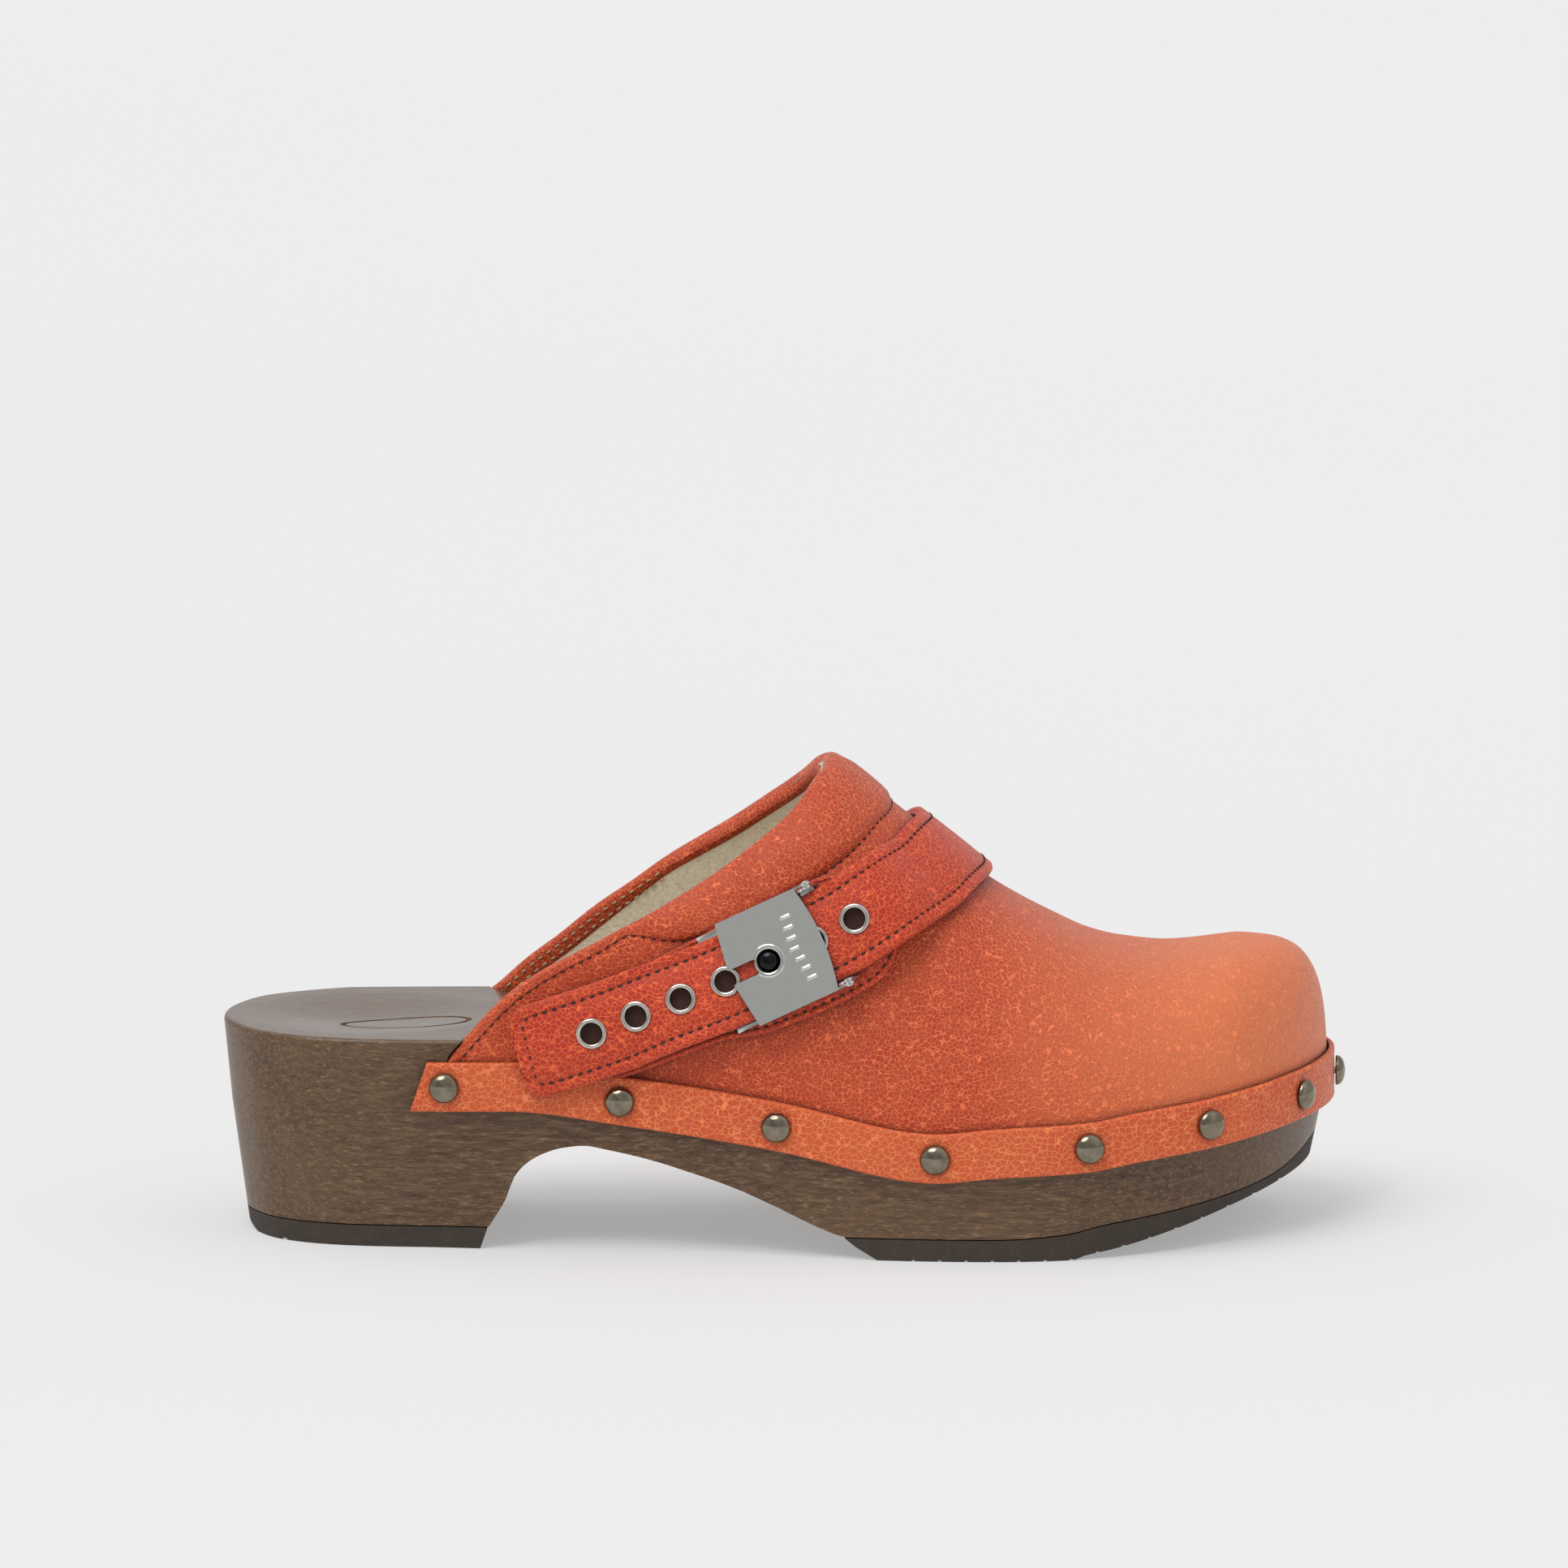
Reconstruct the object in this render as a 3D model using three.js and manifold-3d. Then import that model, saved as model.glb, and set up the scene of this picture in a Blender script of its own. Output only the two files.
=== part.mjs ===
// A right-foot wooden clog: a one-piece wooden sole with rubber treads, a leather upper that is
// nailed on under a leather rand, a padded collar, and an instep strap with a hinged flap buckle.
// Millimetres, +Z up, +X to the toe, -Y to the outer side, where the buckle is.
// The shapes are set out from the back of the heel at floor level; the whole is centred at the end.

import * as THREE from "three";
import { mergeVertices } from "three/addons/utils/BufferGeometryUtils.js";
import Module from "manifold-3d";

const wasm = await Module();
wasm.setup();

// ---- Driving dimensions ----

const GAP = 0.3; // between pieces that touch
const BEYOND = 300; // past every face, for cutting solids

// The sole's outline from above, [x, y], from the heel's back along the outer side to the toe.
const OUTLINE = [
  [0, 0], [2, -11], [9.5, -23], [25, -31.3], [50, -34.5], [80, -34.7], [110, -38], [140, -43.4], [170, -47],
  [198, -46], [222, -38.8], [240, -25.5], [252, -7], [257.3, 14], [254, 31], [240, 42], [215, 46.8],
  [185, 46], [155, 41], [125, 36.2], [95, 33.4], [65, 33.6], [25, 31.3],
  [9.5, 23], [2, 11],
];
const OUTLINE_STEPS = 84;

// Heights along the shoe, [x, z].
const ARCH_LINE = [
  [61.9, 5.3], [66, 12.4], [67.7, 17.2], [71, 21], [75, 23.3], [79, 24.6], [84.2, 25.2],
  [89.2, 24.4], [99.3, 22.2], [109.4, 19.2], [118, 16.4], [127.4, 12.5], [136.8, 8.1], [141.9, 6],
];
const TREAD_LINE = [
  [144.5, 5.3], [179, 5.3], [196, 6.3], [204, 8], [221, 10.2], [238, 13], [246, 15.2], [254, 19.9],
];
const GROUND_LINE = [
  [152, 0], [197, 0], [200, 0.9], [208, 2.3], [221, 5.4], [234, 9.1], [246, 12.4], [253.4, 14.3],
];
const FOOTBED_LINE = [
  [0, 50], [60, 50], [75, 47], [92, 41], [129, 35.3], [166, 28.8], [201, 31], [228, 34.4], [250, 37.5],
];
const NAIL_LINE = [
  [43, 39.2], [66, 39.2], [92.5, 36.2], [128.9, 31.2], [165.5, 24.6], [179, 25.8], [200.8, 27],
  [212, 28.8], [228.3, 30.6], [249.8, 33], [257, 33.4],
];

const HEEL_HEIGHT = 50;
const LIFT_TOP = 5;
const HEEL_TAPER = 4.9;
const TOE_TAPER = 4.6;
const SIDE_TAPER = 1.2;
const GROOVE = { width: 1.4, depth: 1 };
const OUTSOLE_GROOVES = { first: 160, pitch: 8.5, count: 11 };
const LIFT_GROOVES = { first: 16, pitch: 9, count: 5 };

// The upper's layers, as depths from its outer face.
const UPPER_INSET = 0.3; // outer face inside the sole's outline
const UPPER = { outer: 0, inner: 1.8 };
const COLLAR = { outer: 0, inner: 1 };
const FOAM = { outer: 1.3, inner: 2.6 };
const PUFF = { outer: 2.1, inner: 2.6 };
const LINING = { outer: 2.9, inner: 3.8 };
const PUFF_START = 214;

// The ridge along the top of the upper, its sideways place, and how square each section is.
const RIDGE_LINE = [
  [40, 116], [100, 117], [120, 116], [132, 114], [141, 110.6], [150, 104], [157.5, 98.2], [169, 88.6],
  [178.3, 81], [186.5, 75.8], [193.4, 72], [201, 68.2], [208.5, 66], [220, 64.6], [236, 66],
];
const RIDGE_SIDE = [[40, 0], [141, 0], [180, 2], [222, 6], [236, 7.5]];
const SQUARENESS = [
  [40, 2.5], [66, 2.3], [100, 2.12], [150, 2.05], [180, 2.3], [222, 2.8], [236, 3],
];
const TOE_SQUARENESS = 3.6;
const UPPER_REAR = 40;
const UPPER_FLOOR = -5;
const STATION_STEP = 10;
const LINE_STEP = 12;
const TOE_RAYS = 10;
const ARCH_STEPS = 8;

// The foot opening's edge seen from the side, outer side and inner side.
const TOPLINE_OUTER = [
  [50.3, 20], [51.5, 44], [57, 51], [66, 60.5], [75, 66.6], [83.5, 71], [91.7, 75.4], [100, 79.8],
  [108, 84.6], [116.7, 90.3], [125, 96.4], [130.5, 100.7], [134.4, 104.7], [138.5, 109.5], [140, 114],
];
const TOPLINE_INNER = [
  [50.3, 20], [53, 43], [63, 50.5], [70, 57], [78, 63.1], [86, 70], [94.5, 76.1], [102.8, 82.3],
  [111, 87.5], [119.4, 92.9], [127.7, 99], [131.5, 102], [134.8, 105], [138.5, 109.5], [140, 114],
];
const COLLAR_START = 95;
const COLLAR_SEAM = [
  [COLLAR_START, 75.4], [102.8, 73.2], [108, 73], [116, 75], [126, 79], [139, 86.7], [146.8, 93],
  [150.6, 96], [154.7, 101], [158, 108],
];

const RAND = { height: 11.6, inner: 0.3, outer: 1.6, topRear: 46.7, bottomRear: 42.7 };
const NAIL = { headRadius: 3.5, headHeight: 2.3, shankRadius: 0.8, length: 9, holeRadius: 1.15 };
const OUTER_NAILS = [51.7, 92.5, 128.9, 165.5, 200.8, 228.3, 249.8];
const INNER_NAILS = [243, 213, 180, 147, 115, 83, 51.7];
const TOE_NAIL_ANGLE = 20;

// The strap's centre line: [x, z] down the outer side, the ridge crossing, then the inner side.
const STRAP_OUTER = [
  [68.5, 47], [77.5, 49.5], [86.6, 52.4], [97.7, 56.2], [108, 60], [117.4, 63.9], [127.7, 68.8],
  [138, 73.4], [148.5, 78.5], [157.5, 83.6], [164.2, 87.3],
];
const STRAP_PEG_INDEX = 6;
const STRAP_RIDGE_X = 169;
const STRAP_INNER = [[165.5, 85], [157, 76.5], [146, 64], [136, 50], [128, 34]];
const STRAP = { half: 10.9, thick: 2.5, lift: 3.2, ridgeLift: 0.5, corner: 5, step: 6 };
const STRAP_SETTLES = [24, 46]; // from the peg: where the strap comes down onto the vamp
const TAB = { lift: 0.3, thick: 1.6, end: 25, rear: -58 };
const FLAT_SEAT = [25, 42]; // from the peg: flat under the buckle, then following the upper
const EYELET = { pitch: 11.2, count: 7, onPeg: 5, onTail: 3, hole: 2.45, rim: 3.65, cut: 3.05 };
const TAIL_HINGE = -1.5 * EYELET.pitch;

// The buckle, in its own frame: u along the strap, w across it, n out of its face.
const BASE = {
  rear: -14.4, front: 19.3, plateTop: -2.8, plateBottom: -3.5, wallInner: 11.5, wallOuter: 12.1,
};
const PIN = {
  u: 15, n: 1.7, radius: 0.7, hole: 0.9, inner: 11.3, outer: 13.5, headRadius: 1.15, headDepth: 0.4,
};
const FLAP = {
  rear: -8, rearCrown: -9.6, corner: 12, crown: 13.6, bottom: 1, top: 1.8, half: 12.95, flangeInner: 12.35,
  slotHalf: 1.8, hole: 2.7, ringOuter: 3.9, ringTop: 2.3, endRadius: 1.7,
};
const PEG = { radius: 2.1, top: 3, stem: 1.4, stemHole: 1.7 };
const RIVETS = { rear: -12.5, front: 10.5, radius: 1, hole: 1.3 };

const COLOURS = {
  wood: 0x54422f, rubber: 0x37302b, leather: 0xc14a2c, trim: 0xd8663c, suede: 0xbdb196,
  foam: 0xd8cfae, board: 0x8a7658, bronze: 0x6d6557, nickel: 0xb9bbb8, steel: 0x2c2c2e,
};

// ---- Curves and solids ----

// A smooth function through [x, value] pairs that never overshoots them.
function curveThrough(pairs) {
  const xs = pairs.map(([x]) => x);
  const values = pairs.map(([, value]) => value);
  const last = xs.length - 1;
  const rises = xs.slice(1).map((x, i) => (values[i + 1] - values[i]) / (x - xs[i]));
  const slopes = xs.map((_, i) => {
    const before = rises[Math.max(i - 1, 0)];
    const after = rises[Math.min(i, last - 1)];
    return before * after > 0 ? (2 * before * after) / (before + after) : 0;
  });
  return (x) => {
    if (x <= xs[0]) return values[0];
    if (x >= xs[last]) return values[last];
    const i = xs.findIndex((edge) => edge > x) - 1;
    const width = xs[i + 1] - xs[i];
    const t = (x - xs[i]) / width;
    const ease = t * t * (3 - 2 * t);
    const leave = t * (1 - t) * (1 - t) * width * slopes[i];
    const arrive = t * t * (t - 1) * width * slopes[i + 1];
    return values[i] + (values[i + 1] - values[i]) * ease + leave + arrive;
  };
}

const nailHeight = curveThrough(NAIL_LINE);
const randTop = (x) => nailHeight(x) + RAND.height / 2;
const randBottom = (x) => nailHeight(x) - RAND.height / 2;
const ridgeHeight = curveThrough(RIDGE_LINE);
const ridgeSide = curveThrough(RIDGE_SIDE);
const squareness = curveThrough(SQUARENESS);

function signedVolume(triangles) {
  return triangles.reduce((sum, [a, b, c]) => sum + a.dot(b.clone().cross(c)), 0);
}

// A closed mesh from triangles of Vector3, turned to face out.
function meshOf(triangles) {
  const outward = signedVolume(triangles) >= 0;
  const corners = triangles.flatMap(([a, b, c]) => (outward ? [a, b, c] : [a, c, b]));
  const loose = new THREE.BufferGeometry().setFromPoints(corners);
  const merged = mergeVertices(loose, 1e-4);
  const index = [];
  for (let i = 0; i < merged.index.count; i += 3) {
    const [a, b, c] = merged.index.array.slice(i, i + 3);
    if (a !== b && b !== c && a !== c) index.push(a, b, c);
  }
  merged.setIndex(index);
  return merged;
}

function fan(ring) {
  const centre = ring.reduce((sum, p) => sum.add(p), new THREE.Vector3()).divideScalar(ring.length);
  return ring.map((p, i) => [centre, p, ring[(i + 1) % ring.length]]);
}

// Quads between two rows of points; a closed row joins its last point to its first.
function strip(rowA, rowB, closed) {
  const count = closed ? rowA.length : rowA.length - 1;
  const triangles = [];
  for (let i = 0; i < count; i++) {
    const j = (i + 1) % rowA.length;
    triangles.push([rowA[i], rowB[i], rowB[j]], [rowA[i], rowB[j], rowA[j]]);
  }
  return triangles;
}

// A solid through closed rings of points, capped at both ends.
function throughRings(rings) {
  const sides = rings.slice(1).flatMap((ring, i) => strip(rings[i], ring, true));
  return meshOf([...sides, ...fan(rings[0]), ...fan([...rings[rings.length - 1]].reverse())]);
}

function solidOf(geometry) {
  const bare = geometry.clone();
  bare.deleteAttribute("normal");
  bare.deleteAttribute("uv");
  const merged = mergeVertices(bare, 1e-4);
  const vertProperties = new Float32Array(merged.attributes.position.array);
  const triVerts = new Uint32Array(merged.index.array);
  return new wasm.Manifold(new wasm.Mesh({ numProp: 3, vertProperties, triVerts }));
}

function geometryOf(solid) {
  const { numProp, numVert, vertProperties, triVerts } = solid.getMesh();
  const positions = new Float32Array(numVert * 3);
  for (let i = 0; i < numVert; i++) {
    positions.set(vertProperties.subarray(i * numProp, i * numProp + 3), i * 3);
  }
  const geometry = new THREE.BufferGeometry();
  geometry.setAttribute("position", new THREE.BufferAttribute(positions, 3));
  geometry.setIndex(new THREE.BufferAttribute(triVerts, 1));
  geometry.computeVertexNormals();
  return geometry;
}

function shapeOf(points) {
  return new THREE.Shape(points.map(([x, y]) => new THREE.Vector2(x, y)));
}

// A side view, [x, z], carried right across the shoe.
function acrossShoe(points, width = BEYOND) {
  const slab = new THREE.ExtrudeGeometry(shapeOf(points), { depth: width, bevelEnabled: false });
  return solidOf(slab.rotateX(Math.PI / 2).translate(0, width / 2, 0));
}

// Everything above a line of [x, z] points, from its first x to its last.
function aboveLine(line) {
  const first = line[0][0];
  const last = line[line.length - 1][0];
  return acrossShoe([...line, [last, BEYOND], [first, BEYOND]]);
}

function sampled(height, from, to, step) {
  const count = Math.round((to - from) / step);
  return Array.from({ length: count + 1 }, (_, i) => {
    const x = from + ((to - from) * i) / count;
    return [x, height(x)];
  });
}

function box(x0, x1, y0, y1, z0, z1) {
  const block = new THREE.BoxGeometry(x1 - x0, y1 - y0, z1 - z0);
  return block.translate((x0 + x1) / 2, (y0 + y1) / 2, (z0 + z1) / 2);
}

// ---- The outline from above ----

const outline = new THREE.CatmullRomCurve3(
  OUTLINE.map(([x, y]) => new THREE.Vector3(x, y, 0)), true, "catmullrom", 0.5,
).getSpacedPoints(OUTLINE_STEPS).slice(0, -1);

const outlineNormals = outline.map((_, i) => {
  const before = outline[(i + outline.length - 1) % outline.length];
  const after = outline[(i + 1) % outline.length];
  return new THREE.Vector3(after.y - before.y, before.x - after.x, 0).normalize();
});

function outlineBetween(i, t) {
  const j = (i + 1) % outline.length;
  const point = outline[i].clone().lerp(outline[j], t);
  const normal = outlineNormals[i].clone().lerp(outlineNormals[j], t).normalize();
  return { point, normal };
}

// The outline's point at a given x on the outer side (-1) or the inner side (1).
function sidePoint(x, side) {
  for (let i = 0; i < outline.length; i++) {
    const a = outline[i];
    const b = outline[(i + 1) % outline.length];
    const onSide = side < 0 ? b.x > a.x : b.x < a.x;
    if (onSide && (a.x - x) * (b.x - x) <= 0) return outlineBetween(i, (x - a.x) / (b.x - a.x));
  }
  throw new Error("no outline at x " + x);
}

// The outline's point on a ray from a pole, at an angle from +X.
function rayPoint(pole, angle) {
  const ray = new THREE.Vector3(Math.cos(angle), Math.sin(angle), 0);
  for (let i = 0; i < outline.length; i++) {
    const a = outline[i].clone().sub(pole);
    const b = outline[(i + 1) % outline.length].clone().sub(pole);
    const across = [a, b].map((p) => ray.x * p.y - ray.y * p.x);
    const ahead = a.dot(ray) > 0 && b.dot(ray) > 0;
    if (ahead && across[0] <= 0 && across[1] > 0) {
      return outlineBetween(i, across[0] / (across[0] - across[1]));
    }
  }
  throw new Error("no outline at angle " + angle);
}

function outlineRing(z, offset) {
  return outline.map((p, i) => {
    return p.clone().addScaledVector(outlineNormals[i], offset(p.x)).setZ(z);
  });
}

// A block with the outline's shape, moved out by a fixed amount.
function outlineBlock(offset, bottom, top) {
  return solidOf(throughRings([bottom, top].map((z) => outlineRing(z, () => offset))));
}

// ---- Sole ----

function soleInset(x, z) {
  const heel = Math.max(0, 1 - z / HEEL_HEIGHT) * (1 - THREE.MathUtils.smoothstep(x, 45, 90));
  const toe = Math.max(0, 1 - (z - 8) / 30) ** 1.2 * THREE.MathUtils.smoothstep(x, 180, 245);
  const side = Math.max(0, 1 - z / 30);
  return HEEL_TAPER * heel + TOE_TAPER * toe + SIDE_TAPER * side;
}

function soleBlank() {
  const levels = [0, 15, 30, 38, HEEL_HEIGHT + 5];
  return solidOf(throughRings(levels.map((z) => outlineRing(z, (x) => -soleInset(x, z)))));
}

const blank = soleBlank();

function grooves({ first, pitch, count }, height) {
  const cuts = Array.from({ length: count }, (_, i) => {
    const x = first + i * pitch;
    const z = height(x);
    return solidOf(box(x, x + GROOVE.width, -BEYOND, BEYOND, z - 2, z + GROOVE.depth));
  });
  return cuts.reduce((all, cut) => all.add(cut));
}

function heelLift() {
  const side = [[8, 0], [59.9, 0], [61.6, LIFT_TOP], [-5, LIFT_TOP], [-5, 2.6], [5.4, 2.2]];
  return blank.intersect(acrossShoe(side)).subtract(grooves(LIFT_GROOVES, () => 0));
}

function outsole() {
  const top = TREAD_LINE.map(([x, z]) => [x, z - GAP]).reverse();
  const side = [...GROUND_LINE, [262, 16], [262, 24], ...top, [147, 3]];
  const ground = curveThrough(GROUND_LINE);
  return blank.intersect(acrossShoe(side)).subtract(grooves(OUTSOLE_GROOVES, ground));
}

// Stretched spheres that hollow the footbed under the heel and under the ball of the foot.
function footbedHollows() {
  const heel = new THREE.SphereGeometry(1, 16, 8).scale(42, 27, 12).translate(36, 0, 60.2);
  const ball = new THREE.SphereGeometry(1, 16, 8).scale(62, 36, 12).translate(186, 0, 39.4);
  return solidOf(heel).add(solidOf(ball));
}

function woodSole() {
  const footbed = sampled(curveThrough(FOOTBED_LINE), 60, 262, LINE_STEP).reverse();
  const side = [[-5, 5.3], ...ARCH_LINE, ...TREAD_LINE, [262, 25], ...footbed, [-5, HEEL_HEIGHT]];
  const rebate = aboveLine(sampled(randBottom, 50, 262, LINE_STEP)).subtract(dome(UPPER.inner + GAP));
  return blank.intersect(acrossShoe(side)).subtract(rebate).subtract(footbedHollows())
    .subtract(nailHoles);
}

// ---- Rand and nails ----

function rand() {
  const rear = [[RAND.topRear, randTop(RAND.topRear)], [RAND.bottomRear, randBottom(RAND.bottomRear)]];
  const bottom = sampled(randBottom, 50, 262, LINE_STEP);
  const top = sampled(randTop, 50, 262, LINE_STEP).reverse();
  const strap = outlineBlock(RAND.outer, 0, 90).subtract(outlineBlock(RAND.inner, -1, 91));
  return strap.intersect(acrossShoe([rear[1], ...bottom, ...top, rear[0]])).subtract(nailHoles);
}

function nailPlaces() {
  const pole = new THREE.Vector3(POLE.x, POLE.y, 0);
  const outer = OUTER_NAILS.map((x) => sidePoint(x, -1));
  const inner = INNER_NAILS.map((x) => sidePoint(x, 1));
  const toe = rayPoint(pole, THREE.MathUtils.degToRad(TOE_NAIL_ANGLE));
  return [...outer, toe, ...inner].map(({ point, normal }) => {
    return { point: point.clone().setZ(nailHeight(point.x)), normal };
  });
}

// Lathes a profile of [radius, height] points about the Y axis.
function turned(profile, segments) {
  return new THREE.LatheGeometry(profile.map(([r, y]) => new THREE.Vector2(r, y)), segments);
}

function nailGeometry() {
  const { headRadius, headHeight, shankRadius, length } = NAIL;
  const dome = [20, 50].map((degrees) => {
    const angle = THREE.MathUtils.degToRad(degrees);
    return [headRadius * Math.cos(angle), headHeight * Math.sin(angle)];
  });
  return turned([
    [0, -length], [shankRadius, 2 - length], [shankRadius, 0], [headRadius, 0], ...dome, [0, headHeight],
  ], 9);
}

function nailAt({ point, normal }) {
  const turn = new THREE.Quaternion().setFromUnitVectors(new THREE.Vector3(0, 1, 0), normal);
  const head = point.clone().addScaledVector(normal, RAND.outer + GAP);
  return nailGeometry().applyQuaternion(turn).translate(head.x, head.y, head.z);
}

function nailHole({ point, normal }) {
  const { holeRadius, length } = NAIL;
  const drill = new THREE.CylinderGeometry(holeRadius, holeRadius, length + 2, 6);
  drill.translate(0, RAND.outer + 1 - length / 2, 0);
  drill.applyQuaternion(new THREE.Quaternion().setFromUnitVectors(new THREE.Vector3(0, 1, 0), normal));
  return solidOf(drill.translate(point.x, point.y, point.z));
}

// ---- Upper ----

const POLE = { x: RIDGE_LINE[RIDGE_LINE.length - 1][0], y: RIDGE_SIDE[RIDGE_SIDE.length - 1][1] };

// One line of points from below the rand up the wall to the ridge.
function wallRow(base, top, power, depth) {
  const out = new THREE.Vector3(base.x - top.x, base.y - top.y, 0);
  const reach = out.length() - depth - UPPER_INSET;
  out.normalize();
  const foot = randBottom(base.x);
  const rise = top.z - depth - foot;
  const row = [top.clone().addScaledVector(out, reach).setZ(UPPER_FLOOR)];
  for (let i = 0; i <= ARCH_STEPS; i++) {
    const angle = (i / ARCH_STEPS) * (Math.PI / 2);
    const share = Math.max(0, Math.cos(angle)) ** (2 / power);
    const height = foot + rise * Math.sin(angle) ** (2 / power);
    const atRidge = i === ARCH_STEPS;
    row.push(top.clone().addScaledVector(out, atRidge ? 0 : reach * share).setZ(height));
  }
  return row;
}

// The closed form that every layer of the upper is cut from, at a depth inside the outer face.
function dome(depth) {
  const count = Math.round((POLE.x - UPPER_REAR) / STATION_STEP);
  const stations = Array.from({ length: count + 1 }, (_, i) => {
    return UPPER_REAR + ((POLE.x - UPPER_REAR) * i) / count;
  });
  const sideRow = (x, side) => {
    const top = new THREE.Vector3(x, ridgeSide(x), ridgeHeight(x));
    return wallRow(sidePoint(x, side).point, top, squareness(x), depth);
  };
  const pole = new THREE.Vector3(POLE.x, POLE.y, ridgeHeight(POLE.x));
  const toe = Array.from({ length: TOE_RAYS - 1 }, (_, i) => {
    const angle = ((i + 1) / TOE_RAYS - 0.5) * Math.PI;
    const side = squareness(POLE.x);
    const power = side + (TOE_SQUARENESS - side) * Math.cos(angle) ** 2;
    return wallRow(rayPoint(pole.clone().setZ(0), angle).point, pole, power, depth);
  });
  const rows = [
    ...stations.map((x) => sideRow(x, -1)), ...toe, ...stations.reverse().map((x) => sideRow(x, 1)),
  ];
  const sides = rows.slice(1).flatMap((row, i) => strip(rows[i], row, false));
  const rear = fan([...rows[0], ...[...rows[rows.length - 1]].reverse().slice(1)]);
  const floor = fan(rows.map((row) => row[0]).reverse());
  return solidOf(meshOf([...sides, ...rear, ...floor]));
}

function layer({ outer, inner }) {
  return dome(outer).subtract(dome(inner));
}

// Everything above the topline, with the edge moved along the shoe and down by given amounts.
function footOpening(back = 0, down = 0) {
  const corner = [[140, BEYOND], [-20, BEYOND], [-20, 20]];
  const reach = 60 / 34;
  const ends = [-1, 1].map((side) => {
    const blend = (1 + side * reach) / 2;
    const line = TOPLINE_OUTER.map(([x, z], i) => {
      const [innerX, innerZ] = TOPLINE_INNER[i];
      return [x + (innerX - x) * blend + back, z + (innerZ - z) * blend - down];
    });
    return [...line, ...corner].map(([x, z]) => new THREE.Vector3(x, side * 60, z));
  });
  const flat = ends[0].map((p) => new THREE.Vector2(p.x, p.z));
  const faces = THREE.ShapeUtils.triangulateShape(flat, []);
  const caps = faces.flatMap(([a, b, c]) => [
    [ends[0][a], ends[0][c], ends[0][b]], [ends[1][a], ends[1][b], ends[1][c]],
  ]);
  return solidOf(meshOf([...strip(ends[1], ends[0], true), ...caps]));
}

function collarSlab(inset) {
  const seam = COLLAR_SEAM.map(([x, z]) => [x - inset * 0.5, z + inset]);
  seam[0][0] = COLLAR_START + inset;
  return aboveLine(seam);
}

function aboveFootbed(from) {
  const footbed = curveThrough(FOOTBED_LINE);
  return aboveLine(sampled((x) => footbed(x) + GAP, from, 262, LINE_STEP));
}

function upper() {
  const wall = layer(UPPER).intersect(aboveLine(sampled((x) => randBottom(x) + 0.6, 50, 262, LINE_STEP)));
  return wall.subtract(footOpening()).subtract(collarSlab(-GAP)).subtract(nailHoles);
}

function collar() {
  return layer(COLLAR).intersect(collarSlab(0)).subtract(footOpening());
}

function collarFoam() {
  return layer(FOAM).intersect(collarSlab(1.2)).subtract(footOpening(1, 1));
}

function lining() {
  return layer(LINING).intersect(aboveFootbed(58)).subtract(footOpening(0.6, 0.6));
}

function toePuff() {
  return layer(PUFF).intersect(aboveFootbed(PUFF_START));
}

// ---- Strap and tab, laid on the upper ----

// The upper's outer face at x, on the ray that leaves the section's foot at an angle from inward.
function facePoint(x, angle) {
  const side = Math.cos(angle) < 0 ? -1 : 1;
  const foot = randBottom(x);
  const reach = Math.abs(sidePoint(x, side).point.y - ridgeSide(x)) - UPPER_INSET;
  const rise = ridgeHeight(x) - foot;
  const power = squareness(x);
  const across = (Math.abs(Math.cos(angle)) / reach) ** power;
  const up = (Math.abs(Math.sin(angle)) / rise) ** power;
  const radius = (across + up) ** (-1 / power);
  return new THREE.Vector3(x, ridgeSide(x) + radius * Math.cos(angle), foot + radius * Math.sin(angle));
}

function faceNormal(x, angle) {
  const alongX = facePoint(x + 0.5, angle).sub(facePoint(x - 0.5, angle));
  const around = facePoint(x, angle + 0.01).sub(facePoint(x, angle - 0.01));
  return around.cross(alongX).normalize();
}

function angleOf(point) {
  return Math.atan2(point.z - randBottom(point.x), point.y - ridgeSide(point.x));
}

// The face's point at a height z on one side.
function faceAtHeight(x, z, side) {
  const foot = randBottom(x);
  const reach = Math.abs(sidePoint(x, side).point.y - ridgeSide(x)) - UPPER_INSET;
  const share = (z - foot) / (ridgeHeight(x) - foot);
  const power = squareness(x);
  return new THREE.Vector3(x, ridgeSide(x) + side * reach * (1 - share ** power) ** (1 / power), z);
}

const strapCurve = new THREE.CatmullRomCurve3([
  ...STRAP_OUTER.map(([x, z]) => faceAtHeight(x, z, -1)),
  facePoint(STRAP_RIDGE_X, Math.PI / 2),
  ...STRAP_INNER.map(([x, z]) => faceAtHeight(x, z, 1)),
]);
strapCurve.arcLengthDivisions = 800;
const strapLength = strapCurve.getLength();

const pegAlong = (() => {
  const [x] = STRAP_OUTER[STRAP_PEG_INDEX];
  let share = 0;
  while (strapCurve.getPointAt(share).x < x) share += 0.0005;
  return share * strapLength;
})();
const STRAP_REAR = -pegAlong;
const STRAP_FRONT = strapLength - pegAlong;

// The centre line's point and directions at a distance s from the peg, along the strap.
function centreAt(s) {
  const share = THREE.MathUtils.clamp((s + pegAlong) / strapLength, 0, 1);
  const point = strapCurve.getPointAt(share);
  const along = strapCurve.getTangentAt(share);
  const normal = faceNormal(point.x, angleOf(point));
  const across = normal.clone().cross(along).normalize();
  return { point, along, normal, across };
}

const pegSeat = centreAt(0);

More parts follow.
